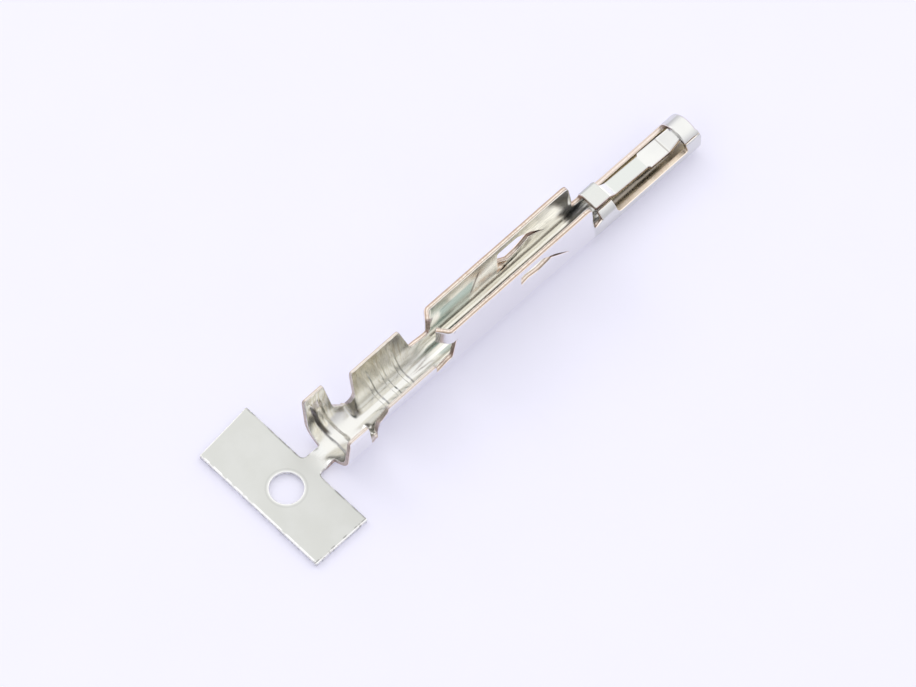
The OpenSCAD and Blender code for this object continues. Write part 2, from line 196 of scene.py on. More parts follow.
station_u = np.array([s[0] for s in stations])
station_bend = soften(np.array([s[1] for s in stations]), 0.05)
slot_of = np.clip(np.searchsorted(station_u, along, side="right") - 1, 0, len(stations) - 2)
share = (along - station_u[slot_of]) / (station_u[slot_of + 1] - station_u[slot_of])
blend = np.where(np.abs(station_u[slot_of] - NECK) < 0.001, 1 - (1 - share) ** 2, smooth(share))
bend = station_bend[slot_of] * (1 - blend)[:, None] + station_bend[slot_of + 1] * blend[:, None]
middle = len(across) // 2


def added_up(rows):
    """Running sum from the middle column outwards."""
    halves = (rows[:, 1:] + rows[:, :-1]) / 2 * STEP_W
    total = np.concatenate([np.zeros((len(rows), 1)), np.cumsum(halves, axis=1)], axis=1)
    return total - total[:, middle:middle + 1]


tangent = added_up(bend)
place_y = added_up(np.cos(tangent))
place_z = added_up(np.sin(tangent)) + T / 2
print("fold table:", bend.shape, "top of the ring at", round(float(place_z[-30].max() + T / 2), 3))


def look_up(table, u, w):
    """A table's value at (u, w), between its rows and columns."""
    a = np.clip((u - along[0]) / STEP_U, 0, len(along) - 1.001)
    b = np.clip((w - across[0]) / STEP_W, 0, len(across) - 1.001)
    i, j = a.astype(int), b.astype(int)
    s, t = a - i, b - j
    return (table[i, j] * (1 - s) * (1 - t) + table[i + 1, j] * s * (1 - t)
            + table[i, j + 1] * (1 - s) * t + table[i + 1, j + 1] * s * t)


def width_at_height(u, z):
    """How far across the sheet its far wing reaches the height z at station u."""
    row = place_z[int(round((u - along[0]) / STEP_U)), middle:]
    top = int(np.argmax(row)) + 1
    return float(np.interp(z, row[:top], across[middle:middle + top]))


# %% [markdown]
# ## The outline of the blank
# The edges were cut while the sheet was flat. Most of them are easier to name by their height on the
# finished contact, so they are drawn in side view, with their fillets, and then carried back to the blank.

# %% Outline helpers
def rounded(path, closed=False):
    """Points of a path whose corners are (x, y) or, for a fillet, (x, y, radius)."""
    out, n = [], len(path)
    for i, corner in enumerate(path):
        at = np.array(corner[:2], float)
        if len(corner) < 3 or (not closed and i in (0, n - 1)):
            out.append(at)
            continue
        before, after = np.array(path[i - 1][:2], float), np.array(path[(i + 1) % n][:2], float)
        p, q = before - at, after - at
        p, q = p / np.linalg.norm(p), q / np.linalg.norm(q)
        half = math.acos(np.clip(p @ q, -1, 1)) / 2
        centre = at + (p + q) / np.linalg.norm(p + q) * corner[2] / math.sin(half)
        start, end = at + p * corner[2] / math.tan(half) - centre, at + q * corner[2] / math.tan(half) - centre
        a0, a1 = math.atan2(start[1], start[0]), math.atan2(end[1], end[0])
        turn = (a1 - a0 + math.pi) % (2 * math.pi) - math.pi
        steps = max(4, int(abs(turn) * corner[2] / 0.025))
        out += [centre + corner[2] * np.array((math.cos(a), math.sin(a)))
                for a in np.linspace(a0, a0 + turn, steps + 1)]
    return out


def stepped(points, longest, closed=False):
    """The same path with points added, so that no piece of it is longer than `longest`."""
    out, ends = [], points[1:] + (points[:1] if closed else [])
    for a, b in zip(points, ends):
        parts = max(1, math.ceil(np.linalg.norm(b - a) / longest))
        out += [a + (b - a) * k / parts for k in range(parts)]
    return out if closed else out + [points[-1]]


def to_blank(points, side):
    """Side-view points (x, height) carried to the blank, on the far (1) or near (-1) side."""
    return [np.array((x, side * width_at_height(x, z))) for x, z in points]


print("the insulation wings end", round(width_at_height(NECK - 1, INSULATION_H), 2), "from the middle of the blank")

# %% Edges of the wings and walls
wing_line = [
    (INSULATION, 0.3),
    (INSULATION, INSULATION_H, 0.12),
    (INSULATION + 1.13, INSULATION_H, 0.12),
    (INSULATION + 1.49, LOW_H, 0.22),
    (NECK, NECK_H, 0.14),
    (WIRE, NECK_RISE_H, 0.2),
    (WIRE + 0.12, WIRE_H, 0.1),
    (WIRE + 2.97, WIRE_H, 0.12),
    (THROAT, THROAT_H, 0.12),
    (WALL, THROAT_H, 0.12),
    (WALL + TAB_NOTCH, BODY_H - TAB_H)]
front_line = [
    (BODY_FRONT - 0.6, BODY_H),
    (BODY_FRONT, BODY_H, 0.28),
    (BODY_FRONT + FRONT_SLANT, RELIEF_H, 0.2),
    (COLLAR, RELIEF_H)]
TAB_CURL = (TAB_R - T / 2) * TAB_TURN


def side_edge(side, tab_length):
    """One side's edge on the blank, from the link to the relief notch, with the tab as it was punched."""
    rear = to_blank(stepped(rounded(wing_line), 0.06), side)[4:]
    foot, top = width_at_height(WALL, BODY_H - TAB_H), width_at_height(WALL, BODY_H)
    end = TAB_BEND - TAB_CURL - tab_length
    tab = stepped(rounded([(WALL + TAB_NOTCH, side * foot), (end, side * foot, 0.07), (end, side * top, 0.07),
                           (BODY_FRONT - 0.6, side * top)]), 0.09)[1:-1]
    return rear + tab + to_blank(stepped(rounded(front_line), 0.09), side)


far_edge, near_edge = side_edge(1, TAB_FAR), side_edge(-1, TAB_NEAR)
print("points on the far and near edges:", len(far_edge), len(near_edge))

# %% [markdown]
# The front of the blank holds the collar, the tube's two edges, the long spring that grows from the
# collar's flap, and the ring. The flap and the ring are wider than the tube, because they close over it.

# %% Edges of the collar, the tube, the spring and the ring
FLAP_Y = float(look_up(place_y, np.array([SOCKET - 0.1]), np.array([FLAP_W]))[0])


def flap_w(y):
    """Place across the blank of a point of the flat flap at this Y."""
    return FLAP_W + FLAP_Y - y


RING_SEAM, HALF_GAP, COLLAR_NEAR_Y = 131, 0.015, 0.36
RING_FAR_W = SOCKET_MID * math.radians(360 - RING_SEAM) - HALF_GAP
RING_NEAR_W = SOCKET_MID * math.radians(RING_SEAM) - HALF_GAP
COLLAR_NEAR_W = SOCKET_MID * (math.pi - math.asin(COLLAR_NEAR_Y / SOCKET_MID))
SHOULDER_REAR, SHOULDER_FRONT, SPRING_NARROWS = SOCKET + 2.35, SOCKET + 2.43, SOCKET + 3.55
spring_near = [
    (COLLAR, flap_w(FLAP_END_Y), 0.07),
    (SHOULDER_REAR, flap_w(FLAP_END_Y)),
    (SHOULDER_FRONT, flap_w(-0.43), 0.05),
    (SPRING_NARROWS, flap_w(-0.43), 0.3),
    (RING + 0.03, flap_w(-0.34), 0.06)]
spring_far = [
    (RING + 0.03, flap_w(0.4), 0.06),
    (SPRING_NARROWS, flap_w(0.49), 0.3),
    (SHOULDER_FRONT, flap_w(0.49), 0.05),
    (SHOULDER_REAR, flap_w(0.4)),
    (SOCKET + 0.02, flap_w(0.4), 0.08)]
tube_side = [(SOCKET, FLAP_W - 0.2), (SOCKET, TUBE_W, 0.2), (RING, TUBE_W)]
far_front = ([(COLLAR, width_at_height(COLLAR, RELIEF_H))] + spring_near + spring_far
             + tube_side + [(RING, RING_FAR_W, 0.07), (NOSE, RING_FAR_W, 0.03)])
near_front = [(NOSE, -RING_NEAR_W, 0.03), (RING, -RING_NEAR_W, 0.07), (RING, -TUBE_W, 0.03), (SOCKET, -TUBE_W, 0.2),
              (SOCKET, -COLLAR_NEAR_W), (COLLAR, -COLLAR_NEAR_W, 0.07), (COLLAR, -width_at_height(COLLAR, RELIEF_H))]
front = stepped(rounded(far_front + near_front), 0.09)
print("flap lies flat from Y", round(FLAP_Y, 3), "and the tube's edge is", round(TUBE_W, 3), "up the blank")

# %% The whole outline and the holes
strip_near = [(INSULATION, -LINK_HALF - 0.2), (INSULATION, -LINK_HALF, 0.06), (STRIP_FRONT, -LINK_HALF, 0.22),
              (STRIP_FRONT, STRIP_NEAR, 0.06), (STRIP_REAR, STRIP_NEAR, 0.06)]
strip_far = [(STRIP_REAR, STRIP_FAR - STRIP_SLANT, 0.06), (STRIP_FRONT, STRIP_FAR + STRIP_SLANT, 0.06),
             (STRIP_FRONT, LINK_HALF, 0.22), (INSULATION, LINK_HALF, 0.06), (INSULATION, LINK_HALF + 0.2)]
strip = stepped(rounded(strip_near + strip_far), 0.12)
outline = strip + far_edge + front[1:-1] + near_edge[::-1]
outline = outline[::-1]
pilot = [PILOT_R * np.array((math.cos(a), math.sin(a))) for a in np.linspace(0, 2 * math.pi, 97)[:-1]]


def window(side):
    """The slot over a tongue: open at the rear, and a mere cut where it runs down to the front."""
    path = [(WINDOW_X, TONGUE_REAR_H, 0.05), (WINDOW_X, WINDOW_TOP, 0.08), (WINDOW_X + WINDOW_LEVEL, WINDOW_TOP, 0.1),
            (WINDOW_X + WINDOW_TURN, WINDOW_TURN_H, 0.3), (WINDOW_X + WINDOW_L, TONGUE_FRONT_H),
            (WINDOW_X + TONGUE_HIGH, TONGUE_HIGH_H, 0.15), (WINDOW_X + TONGUE_LOW, TONGUE_LOW_H, 0.6)]
    return to_blank(stepped(rounded(path, closed=True), 0.09, closed=True), side)


holes = [pilot, window(1), window(-1)]
print("outline has", len(outline), "points and the windows", len(holes[1]))

# %% [markdown]
# ## From the blank to the folded sheet
# `place` is the press: it takes points of the blank and a depth into the sheet, 0 at the outer face and
# T at the inner one, and returns where they end up. The curl comes from the table. Four tools act after
# it: the tabs are rolled in, the tongues pressed in, the spring bent down, and the barrels coined.

# %% Coined grooves and rib
GROOVES, GROOVE_W, GROOVE_DEPTH, GROOVE_LEAN = (5.76, 6.5, 7.24), 0.2, 0.045, 0.12
GROOVE_TOP, GROOVE_FADE, MIDDLE_GROOVE = 2.1, 0.9, 0.55
RIB_X, RIB_W, RIB_T, RIB_TOP, RIB_FADE = INSULATION + 0.62, 0.5, 0.18, 2.4, 0.8
print("grooves at", GROOVES, "and the rib at", RIB_X)


def ramp(x, start, width):
    """A soft step from 0 to 1, this wide and with its middle at the start."""
    return smooth((x - start) / width + 0.5)


def coined(u, w, z):
    """How much thicker the sheet is than T at each point of its inner face."""
    out = np.zeros_like(u)
    lean = u + GROOVE_LEAN * np.abs(w)
    for k, x in enumerate(GROOVES):
        depth = GROOVE_DEPTH * (MIDDLE_GROOVE if k == 1 else 1)
        out -= depth * (ramp(lean, x, 0.05) - ramp(lean, x + GROOVE_W, 0.07))
    out *= ramp(-z, -GROOVE_TOP, GROOVE_FADE)
    on_wing = smooth((np.abs(w) - 0.9) / 1.0)
    rear_step = ramp(lean - 0.05 * on_wing, RIB_X, 0.03 + 0.12 * on_wing)
    rib = (rear_step - ramp(lean, RIB_X + RIB_W, 0.24)) * ramp(-z, -RIB_TOP, RIB_FADE)
    return out + RIB_T * rib


# %% Bent spring
SPRING_BENDS = (SOCKET + 0.03, SOCKET + 0.38, SPRING_NARROWS, RING - 0.07, RING + 0.3)
SPRING_TIP_H, SPRING_TIP_SLOPE = 1.58, 0.27
SPRING_HEIGHTS = (COLLAR_H, 1.65, 1.44, SPRING_TIP_H, SPRING_TIP_H + 0.37 * SPRING_TIP_SLOPE)
spring_path_u = np.arange(SOCKET - 0.3, RING + 0.3, 0.01)
spring_path_z = np.interp(spring_path_u, SPRING_BENDS, SPRING_HEIGHTS)
kernel = np.hanning(19)[1:-1]
spring_path_z[12:-12] = np.convolve(spring_path_z, kernel / kernel.sum(), "same")[12:-12]
spring_slope = np.arctan(np.gradient(spring_path_z, spring_path_u))
print("the spring dips to", round(float(spring_path_z.min()), 2))


# %% The press
TAB_MIN_W = width_at_height(BODY_FRONT - 1, 2.2)
SPRING_MIN_W = TUBE_W + 0.3
FOOT = (WINDOW_X, TONGUE_FOOT_H)
ROOT = (WINDOW_X + WINDOW_L, TONGUE_FRONT_H + 0.1)


def tongue_line(u):
    """Height of the tongues' upper edge, which is the slots' lower edge."""
    return np.interp(u - WINDOW_X, [0, TONGUE_LOW, TONGUE_HIGH, WINDOW_L],
                     [TONGUE_REAR_H, TONGUE_LOW_H, TONGUE_HIGH_H, TONGUE_FRONT_H])


TIP = (WINDOW_X + TONGUE_SLOPE_L, tongue_line(WINDOW_X + TONGUE_SLOPE_L) + 0.1)


def pressed(u, z):
    """Share of the tongue's press at each point of the wall: 0 along its foot and rear end, 1 at its tip."""
    def side(px, pz):
        """How far a point of the wall lies above the tongue's foot line, not to scale."""
        return (ROOT[0] - FOOT[0]) * (pz - FOOT[1]) - (ROOT[1] - FOOT[1]) * (px - FOOT[0])
    share = np.clip(np.minimum((u - FOOT[0]) / TONGUE_SLOPE_L, side(u, z) / side(*TIP)), 0, 1)
    share = share * (1 - 0.8 * smooth((u - TIP[0]) / (WINDOW_L - TONGUE_SLOPE_L)))
    slot_top = np.interp(u - WINDOW_X, [0, WINDOW_LEVEL, WINDOW_TURN, WINDOW_L],
                         [WINDOW_TOP, WINDOW_TOP, WINDOW_TURN_H, TONGUE_FRONT_H])
    on = (u > WINDOW_X) & (u < ROOT[0]) & (z < (tongue_line(u) + slot_top) / 2)
    return np.where(on, share * share / (share + 0.03), 0)


def waves(u, w):
    """The sheet is never quite flat. These long, shallow waves only show in what it mirrors."""
    return 0.0015 * smooth(np.abs(w) / 0.7) * (
        np.sin(1.9 * u + 0.8 * w) + np.sin(3.1 * u - 1.7 * w + 2.1) + 0.7 * np.sin(5.3 * u + 2.9 * w + 0.4))


def place(u, w, d):
    """Places in mm of blank points (u, w), d deep in the sheet. d above T / 2 counts as the inner face."""
    u, w, d = np.broadcast_arrays(*(np.asarray(a, float) for a in (u, w, d)))
    side = np.where(w < 0, -1.0, 1.0)
    # the tube's edges were trimmed level after curling
    in_tube = (np.abs(w) < TUBE_W + 0.1) * smooth((u - SOCKET) / 0.25) * smooth((RING - u) / 0.12)
    level = np.arcsin(SOCKET_EDGE / (SOCKET_R - d)) - math.asin(SOCKET_EDGE / SOCKET_MID)
    w_cut = w + side * in_tube * (np.abs(w) / TUBE_W) ** 6 * level * SOCKET_MID
    # curl
    is_tab = (np.abs(w) > TAB_MIN_W) & (u < TAB_BEND) & (u > THROAT)
    table_u = np.where(is_tab, TAB_BEND, u)
    y, z, a = (look_up(t, table_u, w_cut) for t in (place_y, place_z, tangent))
    deep = d + np.where(d > T / 2, coined(u, w, z) * smooth((d - T / 2) / (T / 2)), 0)
    deep = deep + TONGUE_PRESS * pressed(u, z) * np.where(w < 0, NEAR_PRESS, 1)
    tip_h = np.where(u < NECK, INSULATION_H, WIRE_H)
    bevelled = np.where(u < THROAT, np.clip((z - tip_h) / TIP_BEVEL_L + 1, 0, 1.1), 0)
    deep = deep + TIP_BEVEL * bevelled * np.clip(1 - d / T, 0, 1)
    off = T / 2 - deep + waves(u, w)
    out = np.stack([u, y + off * np.sin(a), z - off * np.cos(a)], axis=-1)
    # tabs
    s = np.where(is_tab, TAB_BEND - u, 0)
    turn = np.minimum(s, TAB_CURL) / (TAB_R - T / 2)
    straight = np.maximum(s - TAB_CURL, 0)
    arm = TAB_R - d + waves(u, w)
    tab = np.stack([
        TAB_BEND - arm * np.sin(turn) - straight * np.cos(turn),
        side * (BODY_R - TAB_R + arm * np.cos(turn) - straight * np.sin(turn)),
        z], axis=-1)
    out = np.where(is_tab[..., None], tab, out)
    # spring
    is_spring = (w > SPRING_MIN_W) & (u > SOCKET) & (u < RING - 0.01)
    top = np.interp(u, spring_path_u, spring_path_z)
    slope = np.interp(u, spring_path_u, spring_slope)
    leaf = np.stack([u + d * np.sin(slope), FLAP_Y + FLAP_W - w, top - d * np.cos(slope)], axis=-1)
    return np.where(is_spring[..., None], leaf, out)


NUDGE = 0.003


def facing(u, w, d):
    """Unit directions at a point of the sheet: along u, along w, and out of the outer face."""
    du = place(u + NUDGE, w, d) - place(u - NUDGE, w, d)
    dw = place(u, w + NUDGE, d) - place(u, w - NUDGE, d)
    out = -np.cross(du, dw)
    return tuple(v / np.maximum(np.linalg.norm(v, axis=-1, keepdims=True), 1e-12) for v in (du, dw, out))


wing_tip = place([NECK - 1], [width_at_height(NECK - 1, INSULATION_H)], 0)[0]
print("the tip of the far insulation wing lands at", wing_tip.round(2).tolist())

# %% [markdown]
# ## Meshing the blank
# The blank is meshed flat, with a constrained Delaunay triangulation: the edges stay exactly where they
# were drawn, and the inside gets rows that are closer where the sheet curves or was coined. The edge
# is a strip of its own. Punching rounds the edge on one side and leaves a sharp burr on the other, so
# the strip goes over a wide radius, down the raw face and over a small radius. The nose was rounded more.

# %% Edge points moved in from the outline
OUTER_ROUND, FRONT_ROUND, INNER_ROUND = 0.075, 0.055, 0.035
NOSE_ROUND, NOSE_INNER_ROUND = 0.17, 0.09


def tidy(points, least=0.012):
    """A closed outline without points that lie too close together."""
    kept = [points[0]]
    for p in points[1:]:
        if np.linalg.norm(p - kept[-1]) > least:
            kept.append(p)
    if np.linalg.norm(kept[0] - kept[-1]) < least:
        kept.pop()
    return np.array(kept)


def outward(loop):
    """Vectors at each outline point that move all edges out by one unit, away from the metal on their left."""
    before, after = loop - np.roll(loop, 1, axis=0), np.roll(loop, -1, axis=0) - loop
    before /= np.linalg.norm(before, axis=1, keepdims=True)
    after /= np.linalg.norm(after, axis=1, keepdims=True)
    before, after = (np.stack([v[:, 1], -v[:, 0]], axis=1) for v in (before, after))
    total = before + after
    total /= np.maximum(np.linalg.norm(total, axis=1, keepdims=True), 1e-9)
    stretch = 1 / np.maximum(np.sum(total * after, axis=1, keepdims=True), 0.6)
    return total * stretch


def signed_area(loop):
    """Area inside a closed outline, positive when it runs to the left."""
    return np.sum(loop[:, 0] * np.roll(loop[:, 1], -1) - np.roll(loop[:, 0], -1) * loop[:, 1]) / 2


loops = [tidy(outline)] + [tidy(h) for h in holes]
# the metal lies to the left of every loop: the outline runs one way and the holes the other
loops = [loop if (signed_area(loop) > 0) == (k == 0) else loop[::-1] for k, loop in enumerate(loops)]
outs = [outward(loop) for loop in loops]
rounds = [np.where(loop[:, 0] > NOSE - 0.02, NOSE_ROUND,
                   np.where(loop[:, 0] > SOCKET - 0.9, FRONT_ROUND, OUTER_ROUND)) for loop in loops]


def eased(loop, out, radius):
    """The same roundings, smaller at tight corners, where edge points moved in would run past each other."""
    ahead = np.roll(loop, -1, axis=0) - loop
    for _ in range(30):
        inset = loop - out * radius[:, None]
        moved = np.roll(inset, -1, axis=0) - inset
        turned = np.sum(ahead * moved, axis=1) < 0.2 * np.sum(ahead * ahead, axis=1)
        if not turned.any():
            break
        for _ in range(3):
            turned = turned | np.roll(turned, 1)
        turned = turned | np.roll(turned, -1)
        radius = np.where(turned, radius * 0.75, radius)
    return radius


rounds = [eased(loop, out, radius) for loop, out, radius in zip(loops, outs, rounds)]
inner_rounds = [np.minimum(np.where(loop[:, 0] > NOSE - 0.02, NOSE_INNER_ROUND, INNER_ROUND), 1.2 * r + 0.002)
                for loop, r in zip(loops, rounds)]
insets = [loop - out * r[:, None] for loop, out, r in zip(loops, outs, rounds)]
print("edge points:", [len(loop) for loop in loops])


# %% Rows inside the blank
def inside(points, loop):
    """Which points lie inside a closed outline."""
    x, y = points[:, 0], points[:, 1]
    odd = np.zeros(len(points), bool)
    ax, ay = loop[:, 0], loop[:, 1]
    bx, by = np.roll(ax, -1), np.roll(ay, -1)
    for x0, y0, x1, y1 in zip(ax, ay, bx, by):
        if y0 != y1:
            crosses = (y0 > y) != (y1 > y)
            odd ^= crosses & (x < (x1 - x0) * (y - y0) / (y1 - y0) + x0)
    return odd


def in_metal(points, outlines):
    """Which points lie inside the first outline and outside all others."""
    ok = inside(points, outlines[0])
    for hole in outlines[1:]:
        ok &= ~inside(points, hole)
    return ok


def lines(spans):
    """Positions in a row, from (start, end, spacing) spans."""
    return np.concatenate([np.arange(a, b, step) for a, b, step in spans])


rows_u = lines([
    (STRIP_REAR, STRIP_FRONT, 0.28), (STRIP_FRONT, INSULATION, 0.1), (INSULATION, RIB_X - 0.4, 0.08),
    (RIB_X - 0.36, RIB_X + 0.05, 0.02), (RIB_X + 0.08, RIB_X + RIB_W + 0.1, 0.05),
    (RIB_X + RIB_W + 0.15, NECK - 0.03, 0.1), (NECK, WIRE + 0.05, 0.05), (WIRE + 0.08, THROAT, 0.1),
    (THROAT + 0.04, BODY, 0.07), (BODY + 0.04, BODY_FRONT, 0.13), (BODY_FRONT + 0.05, SOCKET, 0.07),
    (SOCKET + 0.03, SOCKET + 0.6, 0.05), (SOCKET + 0.66, RING, 0.11), (RING + 0.06, NOSE, 0.08)])
rows_w = lines([(0.04, 1.3, 0.075), (1.3, 5.0, 0.11)])
rows_w = np.concatenate([-rows_w[::-1], rows_w])
grid = np.stack(np.meshgrid(rows_u, rows_w, indexing="ij"), axis=-1).reshape(-1, 2)
shift = -GROOVE_LEAN * np.abs(grid[:, 1])
groove_rows = []
for x in GROOVES:
    for edge in (x - 0.03, x - 0.012, x + 0.012, x + 0.03, x + 0.1, x + GROOVE_W - 0.04, x + GROOVE_W - 0.015,
                 x + GROOVE_W + 0.015, x + GROOVE_W + 0.04):
        groove_rows.append(np.stack([edge - GROOVE_LEAN * np.abs(rows_w), rows_w], axis=1))
groove_rows = np.concatenate(groove_rows)
near_groove = np.zeros(len(grid), bool)
for x in GROOVES:
    near_groove |= (grid[:, 0] - shift > x - 0.06) & (grid[:, 0] - shift < x + GROOVE_W + 0.07)
inner_points = np.concatenate([grid[~near_groove], groove_rows])
inner_points = inner_points[in_metal(inner_points, insets)]
tree = KDTree(sum(len(i) for i in insets))
for k, p in enumerate(np.concatenate(insets)):
    tree.insert((p[0], p[1], 0), k)
tree.balance()
clear = np.array([tree.find((p[0], p[1], 0))[2] > 0.03 for p in inner_points])
inner_points = inner_points[clear]
print("points inside the blank:", len(inner_points))

# %% Triangles of the blank
edge_points = np.concatenate(insets)
starts = np.cumsum([0] + [len(i) for i in insets])
edge_links = [(a + k, a + (k + 1) % (b - a)) for a, b in zip(starts[:-1], starts[1:]) for k in range(b - a)]
every_point = np.concatenate([edge_points, inner_points])
found = delaunay_2d_cdt([Vector(p) for p in every_point.tolist()], edge_links, [], 0, 1e-7)
flat_points = np.array([tuple(p) for p in found[0]])
triangles = np.array(found[2])
triangles = triangles[in_metal(flat_points[triangles].mean(axis=1), insets)]
new_name = {old: new for new, olds in enumerate(found[3]) for old in olds}
edge_names = [np.array([new_name[a + k] for k in range(b - a)]) for a, b in zip(starts[:-1], starts[1:])]
ab, ac = (flat_points[triangles[:, k]] - flat_points[triangles[:, 0]] for k in (1, 2))
turned = ab[:, 0] * ac[:, 1] - ab[:, 1] * ac[:, 0] < 0
triangles[turned] = triangles[turned][:, ::-1]
used = np.unique(triangles)
print("flat triangles:", len(triangles), "points added by crossings:", len(flat_points) - len(every_point))

# %% Fold the two faces of the blank
renamed = np.full(len(flat_points), -1)
renamed[used] = np.arange(len(used))
flat_used = flat_points[used]
triangles = renamed[triangles]
count = len(used)
fu, fw = flat_used[:, 0], flat_used[:, 1]
mesh_points = [place(fu, fw, 0), place(fu, fw, T)]
mesh_normals = [facing(fu, fw, 0)[2], -facing(fu, fw, T)[2]]
blank_uv = [flat_used, flat_used]
on_edge = [np.zeros(count), np.zeros(count)]
on_inner = [np.zeros(count), np.ones(count)]
on_depth = [np.zeros(count), np.ones(count)]
on_rise = [np.zeros(count), np.zeros(count)]
on_rim = [np.zeros(count), np.zeros(count)]
faces = [tuple(t[::-1]) for t in triangles.tolist()] + [tuple(t) for t in (triangles + count).tolist()]
face_raw = [0] * len(faces)
total = 2 * count
print("faces folded:", len(faces))

# %% [markdown]
# Each edge gets rows of points round its section: over the wide radius, down the raw face and over the small
# radius. Every row is placed by the same fold, and its normals turn with it.

# %% Close the edges
OUTER_ANGLES, FACE_SHARES, INNER_ANGLES = (22.5, 45, 67.5, 90), (0.2, 0.4, 0.6, 0.8), (90, 60, 30, 0)
edge_rows = [("outer", a) for a in OUTER_ANGLES] + [("face", share) for share in FACE_SHARES] + [
    ("inner", a) for a in INNER_ANGLES]


def band(before, after, raw):
    """One row of faces between two closed rows of points, bare (1) or tinned (0)."""
    for k in range(len(before)):
        m = (k + 1) % len(before)
        faces.append((before[k], before[m], after[m], after[k]))
        face_raw.append(raw)


for loop, out, names, r_out, r_in in zip(loops, outs, edge_names, rounds, inner_rounds):
    n = len(loop)
    ring = renamed[names]
    previous = ring
    along_edge = facing(loop[:, 0], loop[:, 1], T / 2)
    out_3d = place(*(loop + out * NUDGE).T, T / 2) - place(*(loop - out * NUDGE).T, T / 2)
    out_3d /= np.linalg.norm(out_3d, axis=1, keepdims=True)
    for kind, value in edge_rows:
        a = math.radians(value)
        if kind == "outer":
            reach, depth = -r_out * (1 - math.sin(a)), r_out * (1 - math.cos(a))
            lean = math.sin(a), math.cos(a)
        elif kind == "face":
            reach, depth = 0 * r_out, r_out + (T - r_out - r_in) * value
            lean = 1, 0
        else:
            reach, depth = -r_in * (1 - math.sin(a)), T - r_in * (1 - math.cos(a))
            lean = math.sin(a), -math.cos(a)
        at = loop + out * reach[:, None]
        mesh_points.append(place(at[:, 0], at[:, 1], depth))
        normal = lean[0] * out_3d + lean[1] * along_edge[2]
        mesh_normals.append(normal / np.linalg.norm(normal, axis=1, keepdims=True))
        blank_uv.append(at)
        # the bare colour comes in half-way round the wide radius
        on_edge.append(np.full(n, 1.0 if kind == "face" or value in (90, 67.5) else 0.5 if value == 45 else 0.0))
        on_inner.append(np.full(n, 1.0 if kind == "inner" else 0.0))
        on_depth.append(np.full(n, {"outer": 0.0, "face": value, "inner": 1.0}[kind]))
        on_rise.append(out_3d[:, 2])
        on_rim.append(np.full(n, 1.0 if kind == "inner" else 0.0))
        now = total + np.arange(n)
        band(previous, now, 1 if kind == "face" or value == 90 else 0)
        previous, total = now, total + n
    band(previous, ring + count, 0)
print("folded sheet:", total, "points,", len(faces), "faces")

# %% [markdown]
# ## The mesh
# The mesh gets three things besides its points. Its normals come from the fold itself, not from an average
# of the faces, so that long thin triangles leave no trace in the mirror-like tin. Its UV map is the blank,
# in millimetres, so that rolling lines follow the strip round every bend, as they do on rolled sheet. And
# five attributes say where the bare cut edge is, which face of the sheet is the inner one, how deep a place on
# the cut edge lies in the sheet, how far the cut edge faces up, and where the rim of the inner face is.

# %% The contact's mesh
points = np.concatenate(mesh_points)
normals = np.concatenate(mesh_normals)
blank = np.concatenate(blank_uv)
sheet = bpy.data.meshes.new("contact")
sheet.from_pydata((points * MM).tolist(), [], faces)
sheet.polygons.foreach_set("material_index", face_raw)
sheet.polygons.foreach_set("use_smooth", [True] * len(faces))
loop_points = np.empty(len(sheet.loops), int)
sheet.loops.foreach_get("vertex_index", loop_points)
blank_map = sheet.uv_layers.new(name="blank")
blank_map.data.foreach_set("uv", blank[loop_points].ravel())
for name, values in (("bare", on_edge), ("inner", on_inner), ("depth", on_depth), ("rise", on_rise),
                     ("rim", on_rim)):
    sheet.attributes.new(name, "FLOAT", "POINT").data.foreach_set("value", np.concatenate(values))
sheet.normals_split_custom_set_from_vertices(normals.tolist())
sheet.update()

solid = bmesh.new()
solid.from_mesh(sheet)
open_edges = sum(1 for e in solid.edges if not e.is_contiguous)
sheet_volume = solid.calc_volume(signed=True) / MM ** 3
solid.free()
print("open or badly turned edges:", open_edges, "volume in mm3:", round(sheet_volume, 2))

# %% [markdown]
# ## The finish
# The strip was tinned before it was punched. So the faces are tin, satin and nearly white, with the fine
# lines of the rolls, and the punched edges are bare bronze, pink where the punch smeared it and brown
# where it broke. The carrier was handled most and is the dullest part, and its edges are as grey as its
# faces. Each finish is one node tree, and a few helpers keep the trees short to read.

# %% Helpers for node trees
def new_tree(name, metallic, roughness):
    """A material with one metal shader; constants stay on the shader's own sockets."""
    material = bpy.data.materials.new(name)
    material.use_nodes = True
    tree = material.node_tree
    shader = tree.nodes["Principled BSDF"]
    shader.inputs["Metallic"].default_value = metallic
    shader.inputs["Roughness"].default_value = roughness
    return material, tree, shader


def add(tree, kind, inputs=(), **settings):
    """A node of this kind; `inputs` are (socket, value or output socket)."""
    node = tree.nodes.new(kind)
    for key, value in settings.items():
        setattr(node, key, value)
    for socket, value in dict(inputs).items():
        if isinstance(value, bpy.types.NodeSocket):
            tree.links.new(value, node.inputs[socket])
        else:
            node.inputs[socket].default_value = value
    return node


def math_of(tree, operation, a, b=0.0):
    """The result of one operation on numbers or output sockets."""
    return add(tree, "ShaderNodeMath", {0: a, 1: b}, operation=operation).outputs[0]


def between(tree, value, low, high):
    """0 below low, 1 above high and a soft step in between. With low above high it runs the other way."""
    return add(tree, "ShaderNodeMapRange", {"Value": value, "From Min": low, "From Max": high},
               interpolation_type="SMOOTHSTEP").outputs["Result"]


def stretch(tree, value, low, high):
    """A 0 to 1 value stretched to low to high."""
    return add(tree, "ShaderNodeMapRange", {"Value": value, "To Min": low, "To Max": high}).outputs["Result"]


def tint(tree, share, a, b):
    """Colour a where the share is 0 and colour b where it is 1."""
    node = add(tree, "ShaderNodeMix", data_type="RGBA")
    for socket, value in ((node.inputs[0], share), (node.inputs[6], a), (node.inputs[7], b)):
        if isinstance(value, bpy.types.NodeSocket):
            tree.links.new(value, socket)
        else:
            socket.default_value = value if isinstance(value, float) else (*value, 1)
    return node.outputs[2]


